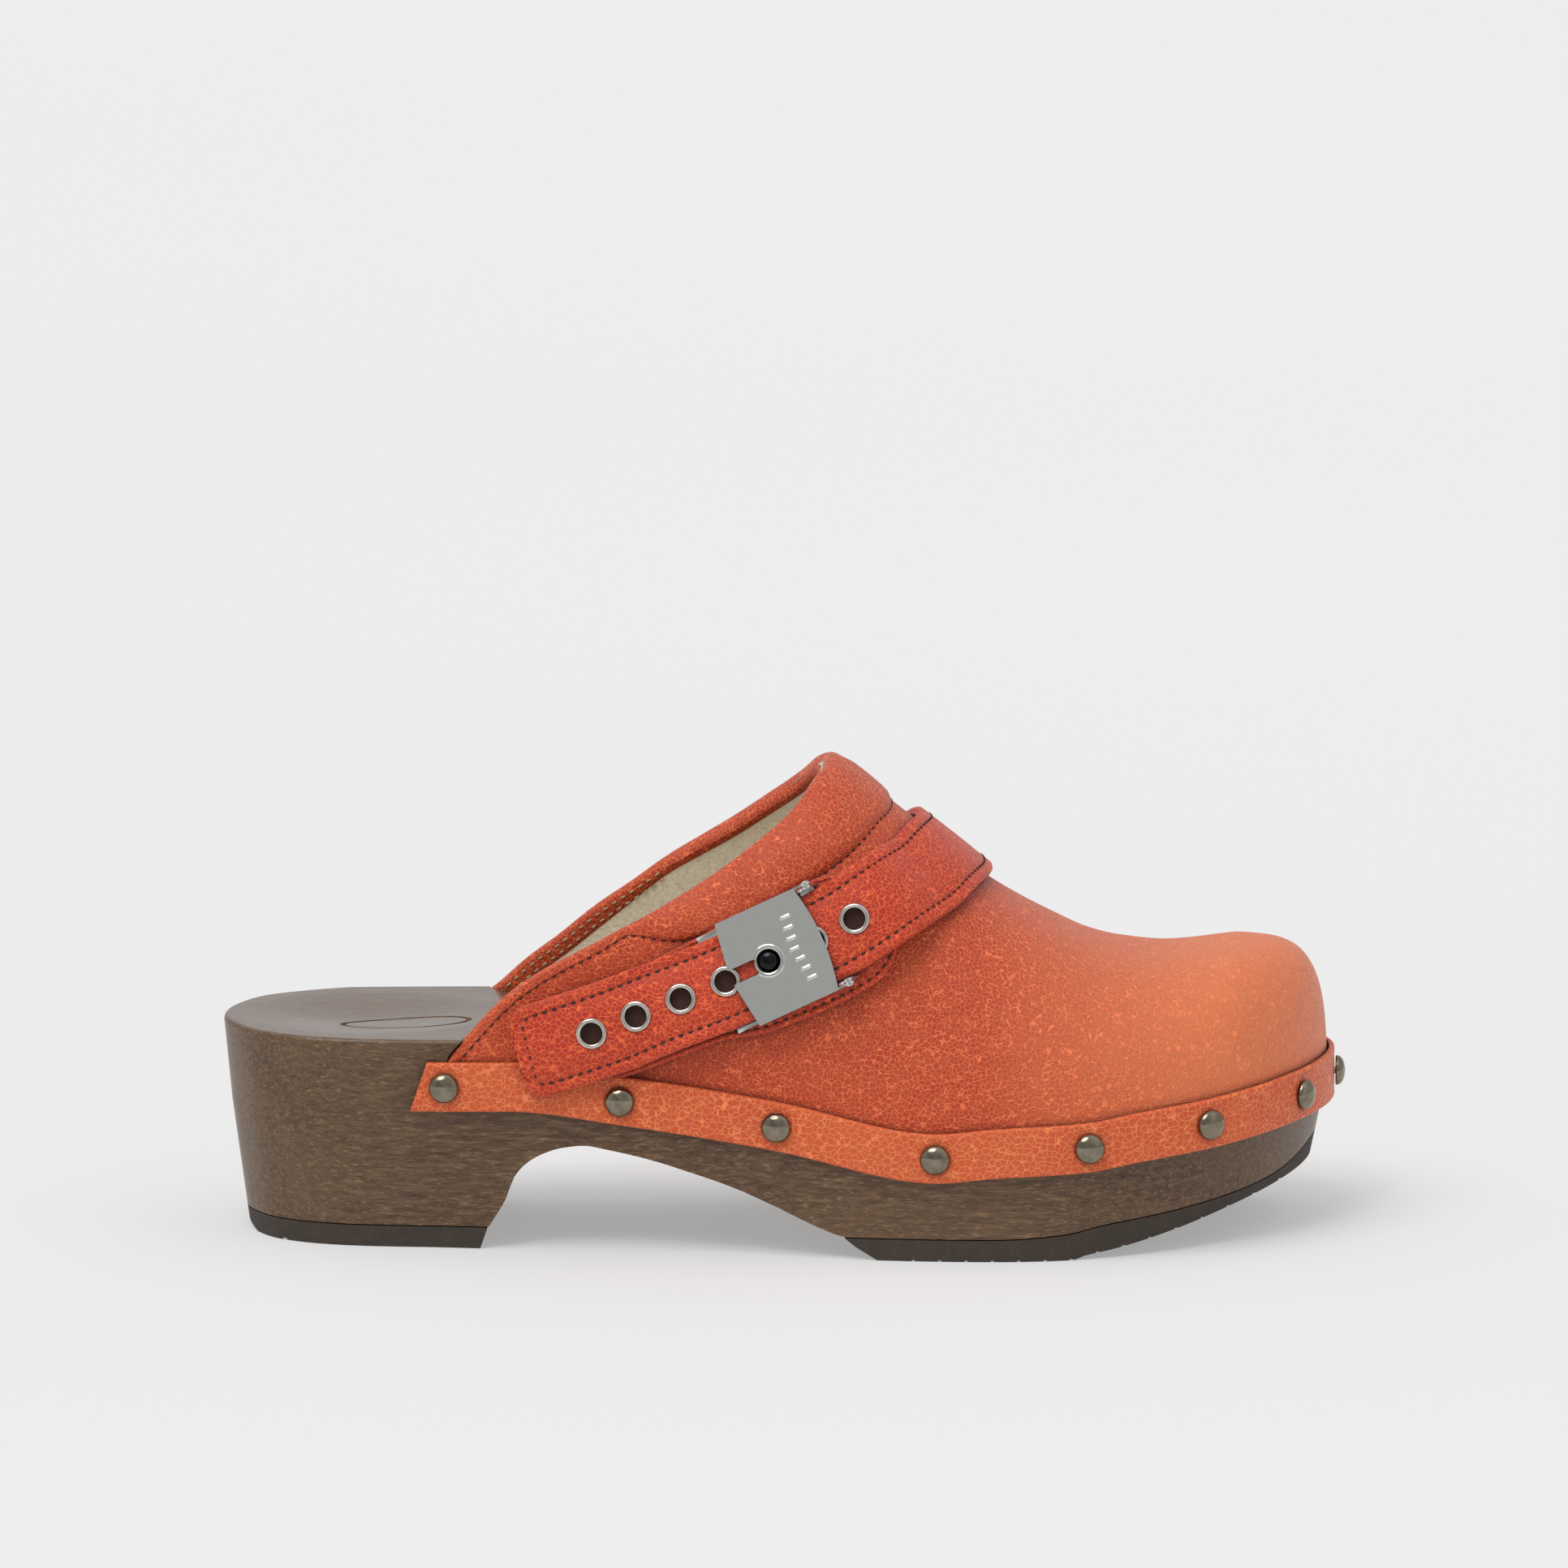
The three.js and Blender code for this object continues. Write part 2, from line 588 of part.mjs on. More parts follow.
// Lifts a point off the upper: flat round the peg, following the face away from it.
function seated(point, lift) {
  const angle = angleOf(point);
  const face = facePoint(point.x, angle);
  const normal = faceNormal(point.x, angle);
  const away = face.clone().sub(pegSeat.point);
  const height = away.dot(pegSeat.normal);
  const follows = THREE.MathUtils.smoothstep(away.length(), ...FLAT_SEAT);
  face.addScaledVector(pegSeat.normal, Math.max(0, -height) * (1 - follows));
  const up = pegSeat.normal.clone().lerp(normal, follows).normalize();
  return face.addScaledVector(up, lift);
}

function strapLift(s) {
  const down = THREE.MathUtils.smoothstep(s, ...STRAP_SETTLES);
  return STRAP.lift + (STRAP.ridgeLift - STRAP.lift) * down;
}

// A band of leather along the strap's centre line, between two edges given as functions of s.
function ribbon(stations, lowEdge, highEdge, lift, thick) {
  const steps = 3;
  const rings = stations.map((s) => {
    const { point, across } = centreAt(s);
    const edge = Array.from({ length: steps + 1 }, (_, i) => {
      const w = lowEdge(s) + ((highEdge(s) - lowEdge(s)) * i) / steps;
      return point.clone().addScaledVector(across, w);
    });
    const under = edge.map((p) => seated(p, lift(s)));
    const over = edge.map((p) => seated(p, lift(s) + thick)).reverse();
    return [...under, ...over];
  });
  return solidOf(throughRings(rings));
}

function evenly(from, to, step) {
  const count = Math.max(1, Math.round((to - from) / step));
  return Array.from({ length: count + 1 }, (_, i) => from + ((to - from) * i) / count);
}

// How much narrower a strap is at a distance from an end with a round corner.
function cornerLoss(distance, radius) {
  const inside = Math.max(0, radius - distance);
  return radius - Math.sqrt(Math.max(0, radius * radius - inside * inside));
}

function eyeletHole(s) {
  const drill = new THREE.CylinderGeometry(EYELET.cut, EYELET.cut, 8, 14);
  return solidOf(place(drill, strapFrame(s)));
}

// Local frame on the strap's outer face: u along, n out, w across, as Matrix4 columns u, n, w.
function strapFrame(s) {
  const { point, along, across } = centreAt(s);
  const origin = seated(point, strapLift(s) + STRAP.thick);
  const ahead = seated(point.clone().addScaledVector(along, 1), strapLift(s) + STRAP.thick);
  const aside = seated(point.clone().addScaledVector(across, 1), strapLift(s) + STRAP.thick);
  const u = ahead.sub(origin).normalize();
  const n = u.clone().cross(aside.sub(origin)).normalize();
  const w = n.clone().cross(u);
  return new THREE.Matrix4().makeBasis(u, n, w.negate()).setPosition(origin);
}

function place(geometry, matrix) {
  return geometry.applyMatrix4(matrix);
}

const eyeletPlaces = Array.from({ length: EYELET.count }, (_, i) => {
  return (i + 1 - EYELET.onPeg) * EYELET.pitch;
});

function strapHalf(s) {
  return STRAP.half - cornerLoss(s - STRAP_REAR, STRAP.corner);
}

function strapPiece(stations, eyelets) {
  const band = ribbon(stations, (s) => -strapHalf(s), strapHalf, strapLift, STRAP.thick);
  return eyelets.map(eyeletHole).reduce((left, hole) => left.subtract(hole), band);
}

function strap() {
  const stations = evenly(TAIL_HINGE + GAP / 2, STRAP_FRONT, STRAP.step);
  const aboveRand = aboveLine(sampled((x) => randTop(x) + GAP, 60, 200, LINE_STEP));
  return strapPiece(stations, eyeletPlaces.slice(EYELET.onTail)).intersect(aboveRand);
}

function strapTail() {
  const rounded = [0, 0.4, 1.5, 3].map((distance) => STRAP_REAR + distance);
  const stations = [...rounded, ...evenly(STRAP_REAR + STRAP.corner, TAIL_HINGE - GAP / 2, STRAP.step)];
  return strapPiece(stations, eyeletPlaces.slice(0, EYELET.onTail));
}

function eyeletGeometry() {
  const { hole, rim } = EYELET;
  return turned([
    [hole, -2.4], [hole + 0.3, -2.4], [hole + 0.3, GAP], [rim, GAP], [rim - 0.3, 0.7],
    [hole, 0.6], [hole, -2.4],
  ], 14);
}

const tabLow = curveThrough([[-40, -12.4], [-18, -12], [-6, -14.6], [8, -14.9], [14, -14.9]]);
const tabHigh = curveThrough([[-30, 10.8], [-18, 12.2], [-6, 13.2], [8, 13.6], [14, 13.6]]);

function buckleTab() {
  const endLoss = (s) => cornerLoss(TAB.end - s, 11);
  const low = (s) => tabLow(s) + endLoss(s);
  const high = (s) => tabHigh(s) - endLoss(s);
  const stations = [...evenly(TAB.rear, 14, 5), 17, 20, 22.5, 24.2, TAB.end];
  const aboveRand = aboveLine(sampled((x) => randTop(x) + GAP, 50, 200, LINE_STEP));
  const band = ribbon(stations, low, high, () => TAB.lift, TAB.thick).intersect(aboveRand);
  return [RIVETS.rear, RIVETS.front].reduce((left, u) => left.subtract(rivetHole(u)), band);
}

// ---- Buckle, in its own frame: X is u, Y is n and Z is -w ----

const buckleFrame = strapFrame(0);

function inBuckle(solid) {
  return solid.transform(buckleFrame.elements);
}

function rivetHole(u) {
  const drill = new THREE.CylinderGeometry(RIVETS.hole, RIVETS.hole, 6, 12);
  return solidOf(place(drill.translate(u, BASE.plateBottom, 0), buckleFrame));
}

function crossHole(u, n, radius) {
  const drill = new THREE.CylinderGeometry(radius, radius, 60, 16).rotateX(Math.PI / 2);
  return solidOf(drill.translate(u, n, 0));
}

function sideWall(shape, inner, outer) {
  const settings = { depth: outer - inner, bevelEnabled: false, curveSegments: 8 };
  const wall = new THREE.ExtrudeGeometry(shape, settings);
  const mirrored = wall.clone().translate(0, 0, -outer);
  return solidOf(wall.translate(0, 0, inner)).add(solidOf(mirrored));
}

function buckleBase() {
  const { rear, front, plateTop, plateBottom, wallInner, wallOuter } = BASE;
  const ear = new THREE.Shape();
  ear.moveTo(rear, plateBottom);
  ear.lineTo(front, plateBottom);
  ear.lineTo(front, 0.2);
  ear.lineTo(PIN.u + 1.5, PIN.n + 1);
  ear.absarc(PIN.u, PIN.n, 1.8, Math.PI * 0.19, Math.PI, false);
  ear.lineTo(PIN.u - 2.4, 0.6);
  ear.lineTo(rear + 4, 0.6);
  ear.lineTo(rear, -1.5);
  ear.closePath();
  const plate = solidOf(box(rear, front, plateBottom, plateTop, -wallOuter, wallOuter));
  const holes = [RIVETS.rear, RIVETS.front].map((u) => [u, RIVETS.hole]);
  const drills = [...holes, [0, PEG.stemHole]].map(([u, radius]) => {
    return solidOf(new THREE.CylinderGeometry(radius, radius, 9, 16).translate(u, plateBottom, 0));
  });
  const body = sideWall(ear, wallInner, wallOuter).add(plate);
  const drilled = drills.reduce((left, drill) => left.subtract(drill), body);
  return inBuckle(drilled.subtract(crossHole(PIN.u, PIN.n, PIN.hole)));
}

function flapPlate() {
  const { rear, rearCrown, corner, crown, bottom, top, half, slotHalf, hole } = FLAP;
  const open = Math.asin(slotHalf / hole);
  const shape = new THREE.Shape();
  shape.moveTo(rear, -half);
  shape.lineTo(corner, -half);
  shape.quadraticCurveTo(2 * crown - corner, 0, corner, half);
  shape.lineTo(rear, half);
  shape.lineTo(rearCrown, slotHalf);
  shape.lineTo(-hole * Math.cos(open), slotHalf);
  shape.absarc(0, 0, hole, Math.PI - open, Math.PI + open, true);
  shape.lineTo(rearCrown, -slotHalf);
  shape.closePath();
  const settings = { depth: top - bottom, bevelEnabled: false, curveSegments: 12 };
  return solidOf(new THREE.ExtrudeGeometry(shape, settings).rotateX(-Math.PI / 2).translate(0, bottom, 0));
}

function flapRing() {
  const { hole, ringOuter, ringTop, bottom, rearCrown, slotHalf } = FLAP;
  const ring = turned([
    [hole, bottom], [ringOuter, bottom], [ringOuter - 0.5, ringTop], [hole, ringTop - 0.3], [hole, bottom],
  ], 18);
  return solidOf(ring).subtract(solidOf(box(rearCrown, 0, -5, 5, -slotHalf, slotHalf)));
}

function flapFlanges() {
  const { rear, top, half, flangeInner, endRadius } = FLAP;
  const flange = new THREE.Shape();
  flange.moveTo(rear, top);
  flange.lineTo(rear + 1.5, 0);
  flange.lineTo(PIN.u - 2, -0.6);
  flange.lineTo(PIN.u, PIN.n - endRadius);
  flange.absarc(PIN.u, PIN.n, endRadius, -Math.PI / 2, Math.PI / 2, false);
  flange.lineTo(PIN.u - 3, top);
  flange.closePath();
  return sideWall(flange, flangeInner, half);
}

function buckleFlap() {
  const body = flapPlate().add(flapRing()).add(flapFlanges());
  return inBuckle(body.subtract(crossHole(PIN.u, PIN.n, PIN.hole)));
}

// One of the two short pins, each through a flange and a wall beside the strap.
function hingePin(side) {
  const { radius, inner, outer, headRadius, headDepth, u, n } = PIN;
  const pin = turned([
    [0, inner], [radius, inner], [radius, outer - headDepth], [headRadius, outer - headDepth],
    [headRadius, outer], [0, outer],
  ], 16);
  return place(pin.rotateX((side * Math.PI) / 2).translate(u, n, 0), buckleFrame);
}

function bucklePeg() {
  const { radius, top, stem } = PEG;
  const peg = turned([
    [0, BASE.plateBottom], [stem, BASE.plateBottom], [stem, BASE.plateTop + GAP],
    [radius, BASE.plateTop + GAP], [radius, top - 0.9], [radius - 0.5, top - 0.3], [radius - 1.2, top],
    [0, top],
  ], 20);
  return place(peg, buckleFrame);
}

function rivet(u) {
  const { radius } = RIVETS;
  const low = BASE.plateBottom - GAP - TAB.thick;
  const high = BASE.plateTop;
  const body = turned([
    [0, low], [radius - 0.2, low], [radius, low + 0.3], [radius, high - 0.3], [radius - 0.2, high], [0, high],
  ], 12);
  return place(body.translate(u, 0, 0), buckleFrame);
}

// ---- Assembly ----

const nails = nailPlaces();
const nailHoles = nails.map(nailHole).reduce((all, hole) => all.add(hole));

const clog = new THREE.Group();

function add(name, piece, color, roughness, metalness = 0) {
  const geometry = piece.isBufferGeometry ? piece : geometryOf(piece);
  const material = new THREE.MeshStandardMaterial({ color, roughness, metalness });
  const mesh = new THREE.Mesh(geometry, material);
  mesh.name = name;
  clog.add(mesh);
}

add("wood_sole", woodSole(), COLOURS.wood, 0.55);
add("heel_lift", heelLift(), COLOURS.rubber, 0.9);
add("outsole", outsole(), COLOURS.rubber, 0.9);
add("upper", upper(), COLOURS.leather, 0.5);
add("lining", lining(), COLOURS.suede, 0.95);
add("toe_puff", toePuff(), COLOURS.board, 0.9);
add("collar", collar(), COLOURS.leather, 0.5);
add("collar_foam", collarFoam(), COLOURS.foam, 0.95);
add("rand", rand(), COLOURS.trim, 0.5);
nails.forEach((nail, i) => add("nail_" + (i + 1), nailAt(nail), COLOURS.bronze, 0.3, 1));
add("strap", strap(), COLOURS.leather, 0.5);
add("strap_tail", strapTail(), COLOURS.leather, 0.5);
eyeletPlaces.forEach((s, i) => {
  add("eyelet_" + (i + 1), place(eyeletGeometry(), strapFrame(s)), COLOURS.nickel, 0.25, 1);
});
add("buckle_tab", buckleTab(), COLOURS.leather, 0.5);
add("buckle_base", buckleBase(), COLOURS.nickel, 0.2, 1);
add("buckle_flap", buckleFlap(), COLOURS.nickel, 0.2, 1);
add("buckle_peg", bucklePeg(), COLOURS.steel, 0.15, 1);
add("hinge_pin_upper", hingePin(-1), COLOURS.nickel, 0.2, 1);
add("hinge_pin_lower", hingePin(1), COLOURS.nickel, 0.2, 1);
add("rivet_rear", rivet(RIVETS.rear), COLOURS.nickel, 0.3, 1);
add("rivet_front", rivet(RIVETS.front), COLOURS.nickel, 0.3, 1);

// The part's origin is the middle of its box, at the floor.
const part = new THREE.Group();
part.add(clog);
const middle = new THREE.Box3().setFromObject(clog).getCenter(new THREE.Vector3());
clog.position.set(-middle.x, -middle.y, 0);

export default part;
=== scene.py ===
"""A right-foot wooden clog with a nailed leather upper and an instep strap with a flap buckle.

Shapes are set out in shoe millimetres: x from the back of the heel to the toe, y from the outer
side (the buckle's, negative) to the inner side, z up from the floor. put() turns them into metres
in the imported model's frame.
"""

import math

import bmesh
import bpy
import numpy as np
from mathutils import Matrix, Vector


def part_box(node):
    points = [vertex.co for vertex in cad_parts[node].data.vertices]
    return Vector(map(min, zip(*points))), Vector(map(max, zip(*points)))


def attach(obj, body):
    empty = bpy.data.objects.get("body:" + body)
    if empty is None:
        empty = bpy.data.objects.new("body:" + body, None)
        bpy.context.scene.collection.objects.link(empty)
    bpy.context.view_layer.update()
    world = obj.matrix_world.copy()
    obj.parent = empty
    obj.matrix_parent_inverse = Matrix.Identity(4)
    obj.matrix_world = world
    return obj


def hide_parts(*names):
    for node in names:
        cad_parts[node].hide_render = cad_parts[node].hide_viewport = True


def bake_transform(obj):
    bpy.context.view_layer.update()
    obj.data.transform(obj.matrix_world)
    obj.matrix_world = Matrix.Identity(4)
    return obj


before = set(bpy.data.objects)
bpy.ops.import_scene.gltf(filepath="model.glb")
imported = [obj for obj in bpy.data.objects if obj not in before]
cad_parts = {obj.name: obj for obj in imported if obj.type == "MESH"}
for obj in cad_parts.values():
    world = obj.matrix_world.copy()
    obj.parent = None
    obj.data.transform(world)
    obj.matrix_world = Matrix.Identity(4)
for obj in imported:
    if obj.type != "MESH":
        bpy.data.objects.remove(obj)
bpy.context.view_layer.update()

MM = 0.001

# ---- Driving dimensions, shared with the CAD model ----

OUTLINE = [
    (0, 0), (2, -11), (9.5, -23), (25, -31.3), (50, -34.5), (80, -34.7), (110, -38), (140, -43.4),
    (170, -47), (198, -46), (222, -38.8), (240, -25.5), (252, -7), (257.3, 14), (254, 31), (240, 42),
    (215, 46.8), (185, 46), (155, 41), (125, 36.2), (95, 33.4), (65, 33.6), (35, 33), (25, 31.3),
    (9.5, 23), (2, 11),
]
ARCH_LINE = [
    (61.9, 5.3), (66, 12.4), (67.7, 17.2), (71, 21), (75, 23.3), (79, 24.6), (84.2, 25.2),
    (89.2, 24.4), (99.3, 22.2), (109.4, 19.2), (118, 16.4), (127.4, 12.5), (136.8, 8.1), (141.9, 6),
]
TREAD_LINE = [
    (144.5, 5.3), (179, 5.3), (196, 6.3), (204, 8), (221, 10.2), (238, 13), (246, 15.2), (254, 19.9),
]
GROUND_LINE = [
    (152, 0), (197, 0), (200, 0.9), (208, 2.3), (221, 5.4), (234, 9.1), (246, 12.4), (253.4, 14.3),
]
FOOTBED_LINE = [
    (0, 50), (60, 50), (75, 47), (92, 41), (129, 35.3), (166, 28.8), (201, 31), (228, 34.4), (250, 37.5),
]
NAIL_LINE = [
    (43, 39.2), (66, 39.2), (92.5, 36.2), (128.9, 31.2), (165.5, 24.6), (179, 25.8), (200.8, 27),
    (212, 28.8), (228.3, 30.6), (249.8, 33), (257, 33.4),
]
HEEL_HEIGHT = 50
LIFT_TOP = 5
HEEL_TAPER, TOE_TAPER, SIDE_TAPER = 4.9, 4.6, 1.2
UPPER_INSET = 0.3
RIDGE_LINE = [
    (40, 116), (100, 117), (120, 116), (132, 114), (141, 110.6), (150, 104), (157.5, 98.2),
    (169, 88.6), (178.3, 81), (186.5, 75.8), (193.4, 72), (201, 68.2), (208.5, 66), (220, 64.6), (236, 66),
]
RIDGE_SIDE = [(40, 0), (141, 0), (180, 2), (222, 6), (236, 7.5)]
SQUARENESS = [(40, 2.5), (66, 2.3), (100, 2.12), (150, 2.05), (180, 2.3), (222, 2.8), (236, 3)]
TOE_SQUARENESS = 3.6
TOPLINE_OUTER = [
    (50.3, 30), (51.5, 44), (57, 51), (66, 60.5), (75, 66.6), (83.5, 71), (91.7, 75.4), (100, 79.8),
    (108, 84.6), (116.7, 90.3), (125, 96.4), (130.5, 100.7), (134.4, 104.7), (138.5, 109.3), (141, 110.6),
]
TOPLINE_INNER = [
    (50.3, 30), (53, 43), (63, 50.5), (70, 57), (78, 63.1), (86, 70), (94.5, 76.1), (102.8, 82.3),
    (111, 87.5), (119.4, 92.9), (127.7, 99), (131.5, 102), (134.8, 105), (138.5, 109.3), (141, 110.6),
]
PEAK_X = 141
RAND_HEIGHT = 11.6
RAND_INNER, RAND_OUTER = 0.3, 1.6
RAND_TOP_REAR, RAND_BOTTOM_REAR = 46.7, 42.7
NAIL_RADIUS, NAIL_DOME = 3.5, 2.3
OUTER_NAILS = [51.7, 92.5, 128.9, 165.5, 200.8, 228.3, 249.8]
INNER_NAILS = [243, 213, 180, 147, 115, 83, 51.7]
TOE_NAIL_ANGLE = 20
STRAP_OUTER = [
    (68.5, 47), (77.5, 49.5), (86.6, 52.4), (97.7, 56.2), (108, 60), (117.4, 63.9), (127.7, 68.8),
    (138, 73.4), (148.5, 78.5), (157.5, 83.6), (164.2, 87.3),
]
STRAP_PEG_INDEX = 6
STRAP_RIDGE_X = 169
STRAP_INNER = [(165.5, 85), (157, 76.5), (146, 64), (136, 50), (128, 34)]
STRAP_HALF, STRAP_THICK = 10.9, 2.5
STRAP_LIFT, STRAP_RIDGE_LIFT = 3.2, 0.5
STRAP_SETTLES = (24, 46)
STRAP_CORNER = 5
TAB_LIFT, TAB_THICK, TAB_END, TAB_REAR = 0.3, 1.6, 28.5, -58
FLAT_SEAT = (25, 42)
EYELET_PITCH, EYELET_COUNT, EYELET_ON_PEG, EYELET_ON_TAIL = 11.2, 7, 5, 3
EYELET_HOLE, EYELET_DRILL, EYELET_RIM = 2.45, 2.8, 3.65
TAIL_HINGE = -1.5 * EYELET_PITCH


# ---- Curves ----


def curve_through(pairs):
    """A smooth function through (x, value) pairs that never overshoots them."""
    xs, values = np.array(pairs, float).T
    rises = np.diff(values) / np.diff(xs)
    before = np.concatenate([rises[:1], rises])
    after = np.concatenate([rises, rises[-1:]])
    together = before * after > 0
    total = np.where(together, before + after, 1)
    slopes = np.where(together, 2 * before * after / total, 0)

    def value(x):
        x = np.clip(x, xs[0], xs[-1])
        i = np.clip(np.searchsorted(xs, x, side="right") - 1, 0, len(xs) - 2)
        width = xs[i + 1] - xs[i]
        t = (x - xs[i]) / width
        ease = t * t * (3 - 2 * t)
        leave = t * (1 - t) ** 2 * width * slopes[i]
        arrive = t * t * (t - 1) * width * slopes[i + 1]
        return values[i] + (values[i + 1] - values[i]) * ease + leave + arrive

    return value


def smoothstep(x, low, high):
    t = np.clip((np.asarray(x, float) - low) / (high - low), 0, 1)
    return t * t * (3 - 2 * t)


def spline(points, closed, per_span=24):
    """Points of a Catmull-Rom curve through the given points."""
    points = np.array(points, float)
    if closed:
        padded = np.concatenate([points[-1:], points, points[:2]])
    else:
        first = 2 * points[0] - points[1]
        last = 2 * points[-1] - points[-2]
        padded = np.concatenate([[first], points, [last]])
    made = []
    t = np.linspace(0, 1, per_span, endpoint=False)[:, None]
    for a, b, c, d in zip(padded, padded[1:], padded[2:], padded[3:]):
        made.append(0.5 * (2 * b + (c - a) * t + (2 * a - 5 * b + 4 * c - d) * t ** 2
                           + (3 * b - a - 3 * c + d) * t ** 3))
    made = np.concatenate(made)
    return made if closed else np.concatenate([made, points[-1:]])


def lengths_along(points):
    return np.concatenate([[0], np.cumsum(np.linalg.norm(np.diff(points, axis=0), axis=1))])


def resampled(points, count):
    """Evenly spaced points along an open line."""
    along = lengths_along(points)
    places = np.linspace(0, along[-1], count)
    return np.stack([np.interp(places, along, axis) for axis in np.asarray(points).T], 1)


nail_height = curve_through(NAIL_LINE)
ridge_height = curve_through(RIDGE_LINE)
ridge_side = curve_through(RIDGE_SIDE)
squareness = curve_through(SQUARENESS)
topline_outer = curve_through(TOPLINE_OUTER)
topline_inner = curve_through(TOPLINE_INNER)
footbed_height = curve_through(FOOTBED_LINE)


def rand_top(x):
    return nail_height(x) + RAND_HEIGHT / 2


def rand_bottom(x):
    return nail_height(x) - RAND_HEIGHT / 2


# ---- The outline from above ----

OUTLINE_COUNT = 480
_loop = spline(OUTLINE, closed=True)
outline = resampled(np.concatenate([_loop, _loop[:1]]), OUTLINE_COUNT + 1)[:-1]
_turn = np.roll(outline, -1, 0) - np.roll(outline, 1, 0)
outline_normals = np.stack([_turn[:, 1], -_turn[:, 0]], 1)
outline_normals /= np.linalg.norm(outline_normals, axis=1)[:, None]
_heel = int(np.argmin(outline[:, 0]))
_rolled = np.roll(np.arange(OUTLINE_COUNT), -_heel)
_toe = int(np.argmax(outline[_rolled, 0]))
OUTER_SIDE = _rolled[: _toe + 1]
INNER_SIDE = _rolled[_toe:][::-1]


def side_point(x, side):
    """The outline's y, and its outward normal, at a given x on the outer (-1) or inner (1) side."""
    part = OUTER_SIDE if side < 0 else INNER_SIDE
    xs = outline[part, 0]
    y = np.interp(x, xs, outline[part, 1])
    normal = np.array([np.interp(x, xs, outline_normals[part, k]) for k in (0, 1)])
    return y, normal / np.linalg.norm(normal)


POLE = np.array([RIDGE_LINE[-1][0], RIDGE_SIDE[-1][1]], float)


def ray_point(angle):
    """The outline's point, and its outward normal, on a ray from the toe's pole."""
    away = outline - POLE
    angles = np.arctan2(away[:, 1], away[:, 0])
    order = np.argsort(angles)
    point = np.array([np.interp(angle, angles[order], outline[order, k]) for k in (0, 1)])
    normal = np.array([np.interp(angle, angles[order], outline_normals[order, k]) for k in (0, 1)])
    return point, normal / np.linalg.norm(normal)


# ---- From shoe millimetres to the frame ----

_wood_low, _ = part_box("wood_sole")
_rand_low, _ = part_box("rand")
SHIFT = np.array([
    _wood_low.x / MM - outline[:, 0].min(),
    _rand_low.y / MM - (outline[:, 1].min() - RAND_OUTER),
    0,
])


def put(points):
    """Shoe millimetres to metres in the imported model's frame."""
    return (np.asarray(points, float).reshape(-1, 3) + SHIFT) * MM


# ---- The upper's outer face ----


def section(x, side):
    """The upper's section at x: the height of its foot, its reach to a side, its rise and its power."""
    foot = rand_bottom(x)
    reach = abs(side_point(x, side)[0] - ridge_side(x)) - UPPER_INSET
    return foot, reach, ridge_height(x) - foot, squareness(x)


def face_point(x, angle):
    """The upper's face at x, on the ray that leaves the section's foot at an angle from inward."""
    foot, reach, rise, power = section(x, -1 if math.cos(angle) < 0 else 1)
    across = (abs(math.cos(angle)) / reach) ** power
    up = (abs(math.sin(angle)) / rise) ** power
    radius = (across + up) ** (-1 / power)
    return np.array([x, ridge_side(x) + radius * math.cos(angle), foot + radius * math.sin(angle)])


def unit(vector):
    return vector / np.linalg.norm(vector)


def face_normal(x, angle):
    along = face_point(x + 0.5, angle) - face_point(x - 0.5, angle)
    around = face_point(x, angle + 0.01) - face_point(x, angle - 0.01)
    return unit(np.cross(around, along))


def angle_of(point):
    x, y, z = point
    return math.atan2(z - rand_bottom(x), y - ridge_side(x))


def face_at_height(x, z, side):
    foot, reach, rise, power = section(x, side)
    share = min(1, (z - foot) / rise)
    y = ridge_side(x) + side * reach * (1 - share ** power) ** (1 / power)
    return np.array([x, y, z])


def on_face(point, lift=0.0):
    """The face's point under or over a point, lifted off it."""
    angle = angle_of(point)
    return face_point(point[0], angle) + lift * face_normal(point[0], angle)


# ---- The strap's centre line ----

_strap_line = spline(
    [face_at_height(x, z, -1) for x, z in STRAP_OUTER]
    + [face_point(STRAP_RIDGE_X, math.pi / 2)]
    + [face_at_height(x, z, 1) for x, z in STRAP_INNER],
    closed=False,
)
_strap_along = lengths_along(_strap_line)
_peg_point = face_at_height(*STRAP_OUTER[STRAP_PEG_INDEX], -1)
PEG_ALONG = _strap_along[np.argmin(np.linalg.norm(_strap_line - _peg_point, axis=1))]
STRAP_REAR = -PEG_ALONG
STRAP_FRONT = _strap_along[-1] - PEG_ALONG


def centre_at(s):
    """The centre line's point and directions (along, out, across) at s from the peg."""
    places = np.clip(np.array([s - 0.5, s, s + 0.5]) + PEG_ALONG, 0, _strap_along[-1])
    before, point, after = (
        np.array([np.interp(place, _strap_along, axis) for axis in _strap_line.T]) for place in places
    )
    along = unit(after - before)
    out = face_normal(point[0], angle_of(point))
    across = unit(np.cross(out, along))
    return point, along, out, across


PEG_POINT, _, PEG_OUT, _ = centre_at(0)


def seated(point, lift):
    """Lifts a point off the upper: flat round the peg, following the face away from it."""
    angle = angle_of(point)
    face = face_point(point[0], angle)
    normal = face_normal(point[0], angle)
    away = face - PEG_POINT
    follows = float(smoothstep(np.linalg.norm(away), *FLAT_SEAT))
    face = face + PEG_OUT * max(0, -away @ PEG_OUT) * (1 - follows)
    up = unit(PEG_OUT + (normal - PEG_OUT) * follows)
    return face + up * lift


def strap_lift(s):
    return STRAP_LIFT + (STRAP_RIDGE_LIFT - STRAP_LIFT) * float(smoothstep(s, *STRAP_SETTLES))


def corner_loss(distance, radius):
    inside = max(0, radius - distance)
    return radius - math.sqrt(max(0, radius * radius - inside * inside))


def strap_half(s):
    return STRAP_HALF - corner_loss(s - STRAP_REAR, STRAP_CORNER)


def strap_point(s, w, lift):
    point, _, _, across = centre_at(s)
    return seated(point + across * w, lift)


